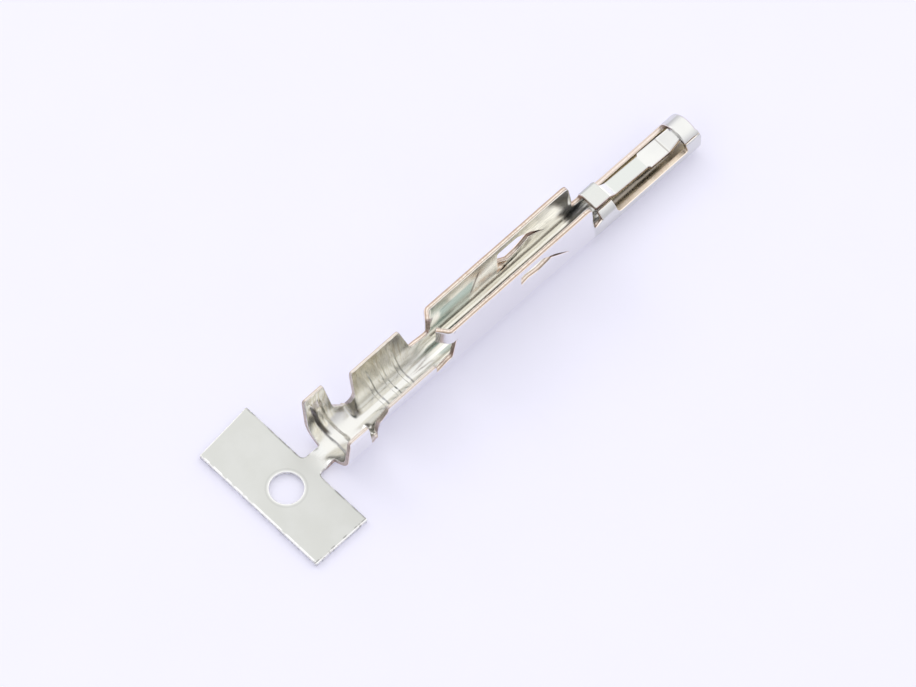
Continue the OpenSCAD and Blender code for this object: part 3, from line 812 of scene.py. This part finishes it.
print("six helpers build nodes and join them")

# %% Helpers for masks
# A mask is 1 where something is seen, 0 where it isn't, and in between at its border.
def rest_of(tree, mask):
    """1 where the mask is 0, and the other way round."""
    return math_of(tree, "SUBTRACT", 1.0, mask)


def part_of(tree, share, *masks):
    """The share of a finish where all masks meet."""
    for mask in masks:
        share = math_of(tree, "MULTIPLY", share, mask)
    return share


def layer(tree, colour, new, share, *masks):
    """The colour so far, with this share of a new one over it where all masks meet."""
    return tint(tree, part_of(tree, share, *masks), colour, new)


print("three helpers lay colours over each other")


# %% Helpers for places and patterns
def scaled(tree, vector, x, y, z, turn=0.0):
    """A pattern's coordinates, turned and scaled."""
    return add(tree, "ShaderNodeMapping", {"Vector": vector, "Scale": (x, y, z), "Rotation": (0, 0, turn)}
               ).outputs["Vector"]


def millimetres(tree):
    """The place on the object, in mm."""
    return scaled(tree, add(tree, "ShaderNodeTexCoord").outputs["Object"], 1 / MM, 1 / MM, 1 / MM)


def noise(tree, vector, scale=1.0, detail=2.0):
    """A cloudy pattern around 0.5."""
    return add(tree, "ShaderNodeTexNoise", {"Vector": vector, "Scale": scale, "Detail": detail}).outputs["Fac"]


def blank_places(tree):
    """The blank's coordinates as a vector, along the strip, across it, and the distance from the middle."""
    vector = add(tree, "ShaderNodeUVMap", uv_map="blank").outputs["UV"]
    parts = add(tree, "ShaderNodeSeparateXYZ", {"Vector": vector})
    return vector, parts.outputs["X"], parts.outputs["Y"], math_of(tree, "ABSOLUTE", parts.outputs["Y"])


def attribute(tree, name):
    """One of the values that the mesh carries."""
    return add(tree, "ShaderNodeAttribute", attribute_name=name).outputs["Fac"]


print("the blank map measures", (blank.max(axis=0) - blank.min(axis=0)).round(2), "mm")

# %% [markdown]
# ### Tin: where it is, and its patterns
# The tin looks different on each stretch of the contact. Its tree reads the place on the blank in mm, `u`
# along the strip and `w` across it, and makes one mask per stretch. Clouds, grain and the rolling lines
# are patterns that several layers share.

# %% Masks and patterns of the tin
tin, tree, shader = new_tree("tin", 1.0, 0.3)
vector, u, w, w_abs = blank_places(tree)
position = millimetres(tree)
inner, bare, rim = (attribute(tree, name) for name in ("inner", "bare", "rim"))
outside = rest_of(tree, inner)
clouds = noise(tree, position, 0.55, 3.0)
grain = noise(tree, position, 26.0, 2.0)
carrier = rest_of(tree, between(tree, u, 1.3, 2.3))
in_barrels = part_of(tree, 1.0, between(tree, u, 2.3, 2.6), rest_of(tree, between(tree, u, 7.9, 8.9)))
in_body = part_of(tree, 1.0, between(tree, u, 8.4, 9.2), rest_of(tree, between(tree, u, 17.4, 18.2)))
in_tube = between(tree, u, 19.0, 19.3)


def lines_of(along_scale, across_scale):
    """Rolling lines run along the strip. In the barrels, rubbing on the forming tools left lines across it."""
    return tint(tree, in_barrels, noise(tree, scaled(tree, vector, along_scale, across_scale, 1), 1.0, 3.0),
                noise(tree, scaled(tree, vector, across_scale, along_scale, 1), 1.0, 3.0))


rolled, fine_rolled = lines_of(1.1, 36), lines_of(5, 140)
print("masks and patterns take", len(tree.nodes), "nodes")

# %% [markdown]
# ### Tin: the colour of each stretch
# Plain tin comes first. The carrier is greyer. Inside the barrels and the body the tin is painted warmer, as a painted
# reflection of the opposite wall, and in the barrels darker towards the bottom. The outside is painted paler, as a
# painted reflection of the pale board.
# The inside of the tube is golden, with a dark brown band of painted shade just beside its lowest line, on the near
# side.

# %% Colour of each stretch
colour = tint(tree, between(tree, clouds, 0.3, 0.7), (0.72, 0.72, 0.71), (0.78, 0.78, 0.76))
colour = tint(tree, stretch(tree, rolled, 0, 0.35), colour, (0.65, 0.65, 0.65))
carrier_tin = tint(tree, between(tree, clouds, 0.35, 0.65), (0.625, 0.63, 0.605), (0.66, 0.665, 0.645))
colour = tint(tree, carrier, colour, carrier_tin)
# painted reflection: inside the barrels the tin is painted warm, as a reflection of the opposite wall, darker towards
# the bottom
barrel_painted_reflection = tint(tree, between(tree, w_abs, 0.7, 1.4), (0.76, 0.75, 0.72), (0.90, 0.88, 0.81))
colour = layer(tree, colour, barrel_painted_reflection, 0.7, in_barrels, inner)
# painted reflection of the opposite wall, warm, on the inside of the body
colour = layer(tree, colour, (0.90, 0.885, 0.84), 0.7, in_body, inner)
# painted reflection of the pale board: the outside of the barrels and the body is painted paler
colour = layer(tree, colour, (0.92, 0.91, 0.92), 0.9, between(tree, u, 2.0, 2.4), outside,
               between(tree, u, 17.8, 17.6))
# the tube is golden inside, with a band of painted shade, dark brown, beside its lowest line on the near side
tube_sides = math_of(tree, "MAXIMUM", between(tree, w_abs, 0.5, 0.72), between(tree, w, 0.0, 0.2))
tube_gold_and_painted_shade = tint(tree, tube_sides, (0.22, 0.18, 0.14), (0.95, 0.88, 0.70))
colour = layer(tree, colour, tube_gold_and_painted_shade, 0.85, in_tube, inner, rest_of(tree, between(tree, w_abs, 1.6, 1.9)))
print("with the colour of each stretch:", len(tree.nodes), "nodes")

# %% [markdown]
# ### Tin: rubbed places, painted shade and painted reflections
# The tools rubbed the wings and left streaks and stained patches towards their tips. Painted shade, nearly black, lies
# along the rib's rear and in the neck, and a painted dark reflection lies where the body's floor curls up into the far
# wall. A painted teal reflection lies on that wall's rear end, and the rest of the wall has painted highlights.

# %% Streaks and stains in the barrels
patches = between(tree, noise(tree, scaled(tree, vector, 5, 1.6, 1), 1.0, 2.0), 0.36, 0.66)
rubbed = between(tree, noise(tree, scaled(tree, vector, 13, 0.7, 1), 1.0, 2.0), 0.5, 0.62)
colour = layer(tree, colour, (0.66, 0.60, 0.47), 0.5, in_barrels, inner, between(tree, w_abs, 0.8, 1.5), rubbed)
colour = layer(tree, colour, (0.52, 0.46, 0.34), 0.55, in_barrels, inner, between(tree, w_abs, 1.9, 3.1), patches)


def zone(inside_u, inside_w, soft=0.1):
    """1 on the inner face inside a rectangle of the blank, fading to 0 over the soft border."""
    low_u, high_u = inside_u
    low_w, high_w = inside_w
    return part_of(
        tree, 1.0, between(tree, u, low_u - soft, low_u + soft), between(tree, u, high_u + soft, high_u - soft),
        between(tree, w, low_w - soft, low_w + soft), between(tree, w, high_w + soft, high_w - soft), inner)


# painted shade, nearly black, along the rear step of the rib inside the insulation barrel
leaned = math_of(tree, "ADD", u, math_of(tree, "MULTIPLY", w_abs, GROOVE_LEAN))
rib_painted_shade = part_of(tree, 1.0, between(tree, leaned, 2.96, 3.02), between(tree, leaned, 3.22, 3.10))
colour = layer(tree, colour, (0.06, 0.05, 0.04), 0.92, rib_painted_shade, zone((2, 4), (0.66, 2.95), 0.22))
print("with streaks and the line behind the rib:", len(tree.nodes), "nodes")

# %% Painted shade, painted reflections and painted highlights
dark_brown, painted_teal_reflection, painted_wall_highlight = (0.16, 0.13, 0.10), (0.26, 0.38, 0.36), (0.97, 0.95, 0.89)
NECK_PAINTED_SHADE = (0.20, 0.185, 0.15)
# Patches of painted light: painted shade in the neck on both sides, a painted dark teal reflection on the far wall's
# rear end, painted highlights on the rest of that wall and on the floor, and a painted dark reflection where the floor
# curls up into the far wall.
painted_patches = [
    (NECK_PAINTED_SHADE, 0.8, (4.40, 4.80), (0.34, 1.45), 0.12),
    (dark_brown, 0.85, (4.44, 4.80), (-1.60, -0.80), 0.08),
    (painted_teal_reflection, 0.5, (9.6, 11.6), (1.15, 2.2), 0.14),
    (painted_teal_reflection, 0.8, (9.8, 11.8), (2.15, 3.0), 0.14),
    (painted_wall_highlight, 0.85, (9.4, 13.3), (3.25, 4.0), 0.12),
    (painted_wall_highlight, 0.8, (13.9, 17.2), (1.5, 4.0), 0.25),
    (painted_wall_highlight, 0.8, (9.4, 17.4), (0.80, 1.10), 0.08),
    (dark_brown, 0.9, (9.4, 17.4), (0.50, 0.69), 0.04)]
for new, share, inside_u, inside_w, soft in painted_patches:
    colour = layer(tree, colour, new, share, zone(inside_u, inside_w, soft))
print(len(painted_patches), "traces in the neck and on the body's far wall")

# %% [markdown]
# The flap over the collar and the spring that grows from it show their outer face to the camera. Their tone is
# painted by how the light falls: grey where they lie level, and a painted highlight, nearly white, on the bend between
# them.
# There is also a fine dark line near the spring's tip.

# %% The flap and the spring
flap = part_of(tree, 1.0, between(tree, u, 18.2, 18.4), between(tree, w, 1.75, 2.0), outside)
# painted light: the level parts of the flap and the spring are painted grey
colour = layer(tree, colour, (0.655, 0.665, 0.645), 1.0, flap, between(tree, u, 19.20, 19.14))
colour = layer(tree, colour, (0.66, 0.68, 0.66), 1.0, flap, between(tree, u, 19.45, 19.6),
               between(tree, u, 21.5, 21.4))
# painted highlight, nearly white, on the bend between the flap and the spring
colour = layer(tree, colour, (0.97, 0.97, 0.95), 1.0, flap, between(tree, u, 19.14, 19.20),
               between(tree, u, 19.6, 19.45))
colour = layer(tree, colour, (0.40, 0.38, 0.36), 0.7, flap, between(tree, u, 22.61, 22.65),
               between(tree, u, 22.72, 22.68))
print("with the flap and the spring:", len(tree.nodes), "nodes")

# %% Marks on the body's walls
slanted = math_of(tree, "SUBTRACT", u, math_of(tree, "MULTIPLY", w, 0.36))
from_streak = math_of(tree, "ABSOLUTE", math_of(tree, "SUBTRACT", slanted, 10.94))
colour = layer(tree, colour, dark_brown, 0.8, between(tree, from_streak, 0.12, 0.03),
               zone((11.3, 12.4), (2.0, 3.3), 0.12))
tongue_rear = part_of(
    tree, 1.0, between(tree, u, 13.15, 13.35), rest_of(tree, between(tree, u, 13.7, 14.0)),
    between(tree, w_abs, 1.2, 1.7), rest_of(tree, between(tree, w_abs, 2.5, 2.9)), inner)
colour = layer(tree, colour, (0.60, 0.40, 0.25), 0.8, tongue_rear,
               between(tree, noise(tree, position, 3.5, 2.0), 0.35, 0.6))
scratched = zone((14.9, 17.0), (2.2, 3.5), 0.3)
for turn in (0.7, -0.9, 0.25):
    scratch = between(tree, noise(tree, scaled(tree, vector, 1.6, 20, 1, turn), 1.0, 1.0), 0.60, 0.64)
    colour = layer(tree, colour, (0.42, 0.38, 0.30), 0.5, scratch, scratched)
print("with the marks on the walls:", len(tree.nodes), "nodes")

# %% [markdown]
# ### Tin: along the edges
# Where the tin rolls over into the cut edge it goes pink, except on the strip. The strip's edges are drawn
# by fine broken lines of painted highlight and painted shade, and a faint ring of painted highlight and painted shade
# runs round the pilot hole.

# %% Lines along the edges
colour = layer(tree, colour, (0.93, 0.80, 0.74), 0.8, bare, rest_of(tree, carrier))
# painted highlights where the rolled rim of the strip catches the light, and painted shade beside them, broken into
# dashes by noise
painted_edge_highlight, painted_edge_shade = (0.93, 0.93, 0.93), (0.30, 0.30, 0.29)
dashes = between(tree, noise(tree, scaled(tree, vector, 6, 2.2, 1), 1.0, 3.0), 0.42, 0.58)
sparse = between(tree, noise(tree, scaled(tree, vector, 2.5, 2.5, 1), 1.0, 3.0), 0.38, 0.5)
sheared = math_of(tree, "MAXIMUM", between(tree, u, 1.2, 1.4), between(tree, w, -3.2, -3.4))
rim_highlight_and_shade = tint(tree, part_of(tree, 1.0, sheared, dashes), (0.90, 0.90, 0.90), (0.28, 0.28, 0.27))
colour = layer(tree, colour, rim_highlight_and_shade, 0.95, rim, carrier)
squares = math_of(tree, "ADD", math_of(tree, "MULTIPLY", u, u), math_of(tree, "MULTIPLY", w, w))
from_hole = math_of(tree, "SQRT", squares)
colour = layer(tree, colour, painted_edge_highlight, 0.3, inner, between(tree, from_hole, 0.87, 0.82), carrier)
colour = layer(tree, colour, painted_edge_shade, 0.15, inner, between(tree, from_hole, 0.86, 0.9),
               between(tree, from_hole, 0.97, 0.92), carrier)
colour = layer(tree, colour, painted_edge_highlight, 0.9, between(tree, u, -1.47, -1.51), sparse)
by_front = part_of(tree, 1.0, between(tree, u, 1.34, 1.41), carrier, between(tree, w_abs, 0.7, 0.9))
colour = layer(tree, colour, painted_edge_shade, 0.45, by_front)
colour = layer(tree, colour, painted_edge_shade, 0.7, by_front, dashes)
near_end = part_of(tree, 1.0, between(tree, w, -3.36, -3.39), carrier)
colour = layer(tree, colour, painted_edge_shade, 0.9, near_end, between(tree, w, -3.44, -3.42), dashes)
colour = layer(tree, colour, painted_edge_highlight, 0.9, near_end, between(tree, w, -3.42, -3.44), sparse)
tree.links.new(colour, shader.inputs["Base Color"])
print("with the lines along the edges:", len(tree.nodes), "nodes")

# %% [markdown]
# ### Tin: gloss and relief
# Clouds and rolling lines also change the gloss a little. The carrier is duller by far, and the inside of
# the body a bit more polished. The relief of lines and grain stays below three thousandths of a millimetre.

# %% Gloss and relief of the tin
mottled = math_of(tree, "ADD", math_of(tree, "MULTIPLY", clouds, 0.6), math_of(tree, "MULTIPLY", rolled, 0.4))
satin = stretch(tree, mottled, 0.10, 0.26)
rough = math_of(tree, "ADD", satin, math_of(tree, "MULTIPLY", carrier, 0.3))
rough = math_of(tree, "SUBTRACT", rough, part_of(tree, 0.07, in_body, inner))
tree.links.new(rough, shader.inputs["Roughness"])
height = math_of(tree, "ADD", math_of(tree, "MULTIPLY", rolled, 0.5), math_of(tree, "MULTIPLY", fine_rolled, 0.2))
height = math_of(tree, "ADD", height, math_of(tree, "MULTIPLY", grain, 0.12))
bump = add(tree, "ShaderNodeBump", {"Height": height, "Strength": 0.5, "Distance": 0.003 * MM})
tree.links.new(bump.outputs["Normal"], shader.inputs["Normal"])
print("tin has", len(tree.nodes), "nodes")

# %% [markdown]
# ### Bare bronze
# A cut edge is smooth where the punch smeared it. A dark wavering line runs along each side of it, next
# to the rounding and next to the burr. Edges that face sideways get painted shade over the torn grain, edges that
# face up are paler, and from the collar on they are painted palest, as painted light.

# %% Bare bronze on the cut edges
bronze, tree, shader = new_tree("bare bronze", 1.0, 0.3)
vector, u, w, w_abs = blank_places(tree)
position = millimetres(tree)
carrier = rest_of(tree, between(tree, u, 1.5, 2.1))
torn = noise(tree, position, 9.0, 3.0)
smears = noise(tree, scaled(tree, vector, 14, 14, 1), 1.0, 2.0)
waver = stretch(tree, noise(tree, position, 3.0, 2.0), -0.12, 0.12)
depth = math_of(tree, "ADD", attribute(tree, "depth"), waver)
colour = tint(tree, between(tree, smears, 0.35, 0.65), (0.70, 0.58, 0.50), (0.84, 0.76, 0.69))
colour = layer(tree, colour, (0.40, 0.28, 0.21), 0.85, rest_of(tree, between(tree, depth, 0.12, 0.3)))
colour = layer(tree, colour, (0.30, 0.22, 0.17), 0.85, between(tree, depth, 0.68, 0.84))
# painted shade: edges that face sideways, read from the rise attribute, are darker, over a torn grain
fracture_and_painted_shade = tint(tree, between(tree, torn, 0.3, 0.7), (0.26, 0.19, 0.16), (0.62, 0.48, 0.40))
colour = layer(tree, colour, fracture_and_painted_shade, 0.8, rest_of(tree, between(tree, attribute(tree, "rise"), 0.15, 0.8)))
grey = tint(tree, between(tree, torn, 0.35, 0.6), (0.45, 0.45, 0.44), (0.86, 0.86, 0.85))
colour = tint(tree, carrier, colour, grey)
colour = layer(tree, colour, (0.68, 0.65, 0.62), 0.45, between(tree, u, 2.3, 2.6), between(tree, u, 8.3, 7.9))
# painted light: the cut edges from the collar on are painted palest, most on the near side
near_more = stretch(tree, between(tree, w, 0.1, -0.1), 0.4, 0.75)
lit = tint(tree, between(tree, w, -0.1, 0.1), (0.93, 0.85, 0.70), (0.90, 0.80, 0.76))
colour = layer(tree, colour, lit, 1.0, between(tree, u, 18.3, 19.1), near_more)
tree.links.new(colour, shader.inputs["Base Color"])
tree.links.new(stretch(tree, smears, 0.2, 0.42), shader.inputs["Roughness"])
bump = add(tree, "ShaderNodeBump", {"Height": smears, "Strength": 0.6, "Distance": 0.006 * MM})
tree.links.new(bump.outputs["Normal"], shader.inputs["Normal"])
print("bare bronze has", len(tree.nodes), "nodes")

# %% The contact as a piece
sheet.materials.append(tin)
sheet.materials.append(bronze)
contact = bpy.data.objects.new("contact", sheet)
bpy.context.collection.objects.link(contact)
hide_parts("crimp_contact")
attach(contact, "root")
print("contact has", len(sheet.materials), "finishes")

# %% [markdown]
# ## The burr
# A punch leaves a fine burr where it breaks out of the sheet, which is the inner face here. It catches the
# light as a thin bright line along the edges. Geometry Nodes draws it: the edge's path is cut into even
# steps, each step is moved a little at random, and a thin round section of uneven thickness follows it.

# %% Paths of the burr
BURR_IN, BURR_DEPTH = 0.62, T - 0.012
burr_points, burr_links = [], []
for loop, out, r_in in zip(loops, outs, inner_rounds):
    path = place(*(loop - out * (r_in[:, None] * BURR_IN)).T, BURR_DEPTH)
    wanted = (loop[:, 0] < NOSE - 0.2) & ((loop[:, 0] < SOCKET - 1) | (np.abs(loop[:, 1]) < FLAP_W - 0.4))
    first = len(burr_points)
    burr_points += path.tolist()
    burr_links += [(first + k, first + (k + 1) % len(loop)) for k in range(len(loop))
                   if wanted[k] and wanted[(k + 1) % len(loop)]]
path_mesh = bpy.data.meshes.new("burr")
path_mesh.from_pydata((np.array(burr_points) * MM).tolist(), burr_links, [])
burr = bpy.data.objects.new("burr", path_mesh)
bpy.context.collection.objects.link(burr)
print("burr follows", len(burr_links), "pieces of edge")

# %% Finish of the burr
burr_tin, tree, shader = new_tree("burr tin", 1.0, 0.18)
shade = between(tree, noise(tree, millimetres(tree), 2.2, 2.0), 0.38, 0.55)
tree.links.new(tint(tree, shade, (0.55, 0.50, 0.46), (0.93, 0.91, 0.88)), shader.inputs["Base Color"])
print("burr tin has", len(tree.nodes), "nodes")

# %% Geometry Nodes tree of the burr
nodes = bpy.data.node_groups.new("burr", "GeometryNodeTree")
nodes.interface.new_socket("Geometry", in_out="INPUT", socket_type="NodeSocketGeometry")
nodes.interface.new_socket("Geometry", in_out="OUTPUT", socket_type="NodeSocketGeometry")
for name, value in (("Step", 0.045), ("Thickness", 0.011), ("Wander", 0.008)):
    nodes.interface.new_socket(name, in_out="INPUT", socket_type="NodeSocketFloat").default_value = value * MM
source = add(nodes, "NodeGroupInput")
result = add(nodes, "NodeGroupOutput")
curve = add(nodes, "GeometryNodeMeshToCurve", {"Mesh": source.outputs["Geometry"]})
steps = add(nodes, "GeometryNodeResampleCurve",
            {"Curve": curve.outputs["Curve"], "Length": source.outputs["Step"]}, mode="LENGTH")
uneven = add(nodes, "FunctionNodeRandomValue", {"Seed": 7}, data_type="FLOAT_VECTOR")
uneven.inputs["Min"].default_value, uneven.inputs["Max"].default_value = (-0.5, -0.5, -0.5), (0.5, 0.5, 0.5)
shifted = add(nodes, "ShaderNodeVectorMath", {0: uneven.outputs["Value"], "Scale": source.outputs["Wander"]},
              operation="SCALE")
moved = add(nodes, "GeometryNodeSetPosition", {"Geometry": steps.outputs["Curve"], "Offset": shifted.outputs["Vector"]})
thick = add(nodes, "FunctionNodeRandomValue", {"Seed": 11}, data_type="FLOAT")
thick.inputs[2].default_value, thick.inputs[3].default_value = 0.45, 1.25
sized = add(nodes, "GeometryNodeSetCurveRadius", {"Curve": moved.outputs["Geometry"], "Radius": thick.outputs[1]})
section = add(nodes, "GeometryNodeCurvePrimitiveCircle", {"Resolution": 6, "Radius": source.outputs["Thickness"]},
              mode="RADIUS")
swept = add(nodes, "GeometryNodeCurveToMesh", {
    "Curve": sized.outputs["Curve"], "Profile Curve": section.outputs["Curve"], "Fill Caps": True})
# where this node has the socket, it takes the thickness from it and not from the curve's radius
if "Scale" in swept.inputs:
    nodes.links.new(thick.outputs[1], swept.inputs["Scale"])
smoothed = add(nodes, "GeometryNodeSetShadeSmooth", {"Geometry": swept.outputs["Mesh"]})
real = add(nodes, "GeometryNodeRealizeInstances", {"Geometry": smoothed.outputs["Geometry"]})
finished = add(nodes, "GeometryNodeSetMaterial", {"Geometry": real.outputs["Geometry"], "Material": burr_tin})
nodes.links.new(finished.outputs["Geometry"], result.inputs["Geometry"])
print("the burr's tree has", len(nodes.nodes), "nodes")

# %% The burr as a plain mesh
modifier = burr.modifiers.new("burr", "NODES")
modifier.node_group = nodes
for item in nodes.interface.items_tree:
    if item.in_out == "INPUT" and item.socket_type == "NodeSocketFloat":
        modifier[item.identifier] = item.default_value
evaluated = burr.evaluated_get(bpy.context.evaluated_depsgraph_get())
burr_mesh = bpy.data.meshes.new_from_object(evaluated)
burr.modifiers.remove(modifier)
burr.data = burr_mesh
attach(burr, "root")
print("burr has", len(burr_mesh.polygons), "faces")

# %% [markdown]
# ## The floor and the light
# The contact lies on a pale board inside a white tent. Tin shows what it mirrors more than its own colour,
# so the tent is bright all round and brightest above the nose. The dark hole that the camera looks through
# is what draws the dark lines along the curls. One soft lamp behind the far side throws the faint shadow
# towards the near side. The board also glows a little, but only where it is seen or mirrored, so that it
# stays nearly white without lighting the contact from below.

# %% Floor
FLOOR_Z, FLOOR_HALF = -0.012, 1.5
BOARD_DARK, BOARD_PALE, BOARD_GLOW = (0.733, 0.723, 0.825), (0.747, 0.736, 0.84), 0.3
floor_mesh = bpy.data.meshes.new("floor")
floor_mesh.from_pydata(
    [(x * FLOOR_HALF, y * FLOOR_HALF, FLOOR_Z * MM) for x, y in ((-1, -1), (1, -1), (1, 1), (-1, 1))],
    [], [(0, 1, 2, 3)])
board, tree, shader = new_tree("pale board", 0.0, 0.9)
colour = tint(tree, noise(tree, millimetres(tree), 0.2, 2.0), BOARD_DARK, BOARD_PALE)
tree.links.new(colour, shader.inputs["Base Color"])
shader.inputs["Specular IOR Level"].default_value = 0.1
tree.links.new(colour, shader.inputs["Emission Color"])
light_path = add(tree, "ShaderNodeLightPath")
seen = light_path.outputs["Is Camera Ray"]
for kind in ("Is Glossy Ray", "Is Transmission Ray"):
    seen = math_of(tree, "MAXIMUM", seen, light_path.outputs[kind])
tree.links.new(math_of(tree, "MULTIPLY", seen, BOARD_GLOW), shader.inputs["Emission Strength"])
floor_mesh.materials.append(board)
floor = bpy.data.objects.new("floor", floor_mesh)
bpy.context.collection.objects.link(floor)
print("the board lies", -FLOOR_Z, "mm below the contact")

# %% Tent
HOLE_EDGE, HOLE_CORE = math.radians(24), math.radians(13)
WINDOW_SIDE = (0.52, 0.08, 0.85)
CLOTH_DIM, CLOTH_LIT, HOLE_DARK = (0.95, 0.95, 1.0), (1.0, 1.0, 0.99), (0.10, 0.115, 0.11)
world = bpy.data.worlds.new("tent")
bpy.context.scene.world = world
world.use_nodes = True
tree = world.node_tree
direction = add(tree, "ShaderNodeTexCoord").outputs["Generated"]
to_camera = add(tree, "ShaderNodeVectorMath", {0: direction, 1: tuple(back)}, operation="DOT_PRODUCT")
hole = between(tree, to_camera.outputs["Value"], math.cos(HOLE_EDGE), math.cos(HOLE_CORE))
to_window = add(tree, "ShaderNodeVectorMath", {0: direction, 1: WINDOW_SIDE}, operation="DOT_PRODUCT")
window_light = between(tree, to_window.outputs["Value"], 0.2, 0.97)
cloth = tint(tree, window_light, CLOTH_DIM, CLOTH_LIT)
tree.links.new(tint(tree, hole, cloth, HOLE_DARK), tree.nodes["Background"].inputs["Color"])
tree.links.new(stretch(tree, window_light, 0.74, 1.27), tree.nodes["Background"].inputs["Strength"])
print("tent has", len(tree.nodes), "nodes")

# %% Lamp
LAMP_AT, LAMP_AIM, LAMP_SIZE, LAMP_WATT = (0.0, 0.42, 0.36), Vector((0.011, 0, 0)), 0.3, 0.25
lamp_data = bpy.data.lights.new("lamp", "AREA")
lamp_data.shape, lamp_data.size = "DISK", LAMP_SIZE
lamp_data.energy = LAMP_WATT
lamp = bpy.data.objects.new("lamp", lamp_data)
lamp.location = LAMP_AT
lamp.rotation_mode = "QUATERNION"
lamp.rotation_quaternion = (LAMP_AIM - lamp.location).to_track_quat("-Z", "Y")
bpy.context.collection.objects.link(lamp)
bpy.context.scene.view_settings.view_transform = "Standard"
print("lamp stands", round(lamp.location.length, 3), "m away")
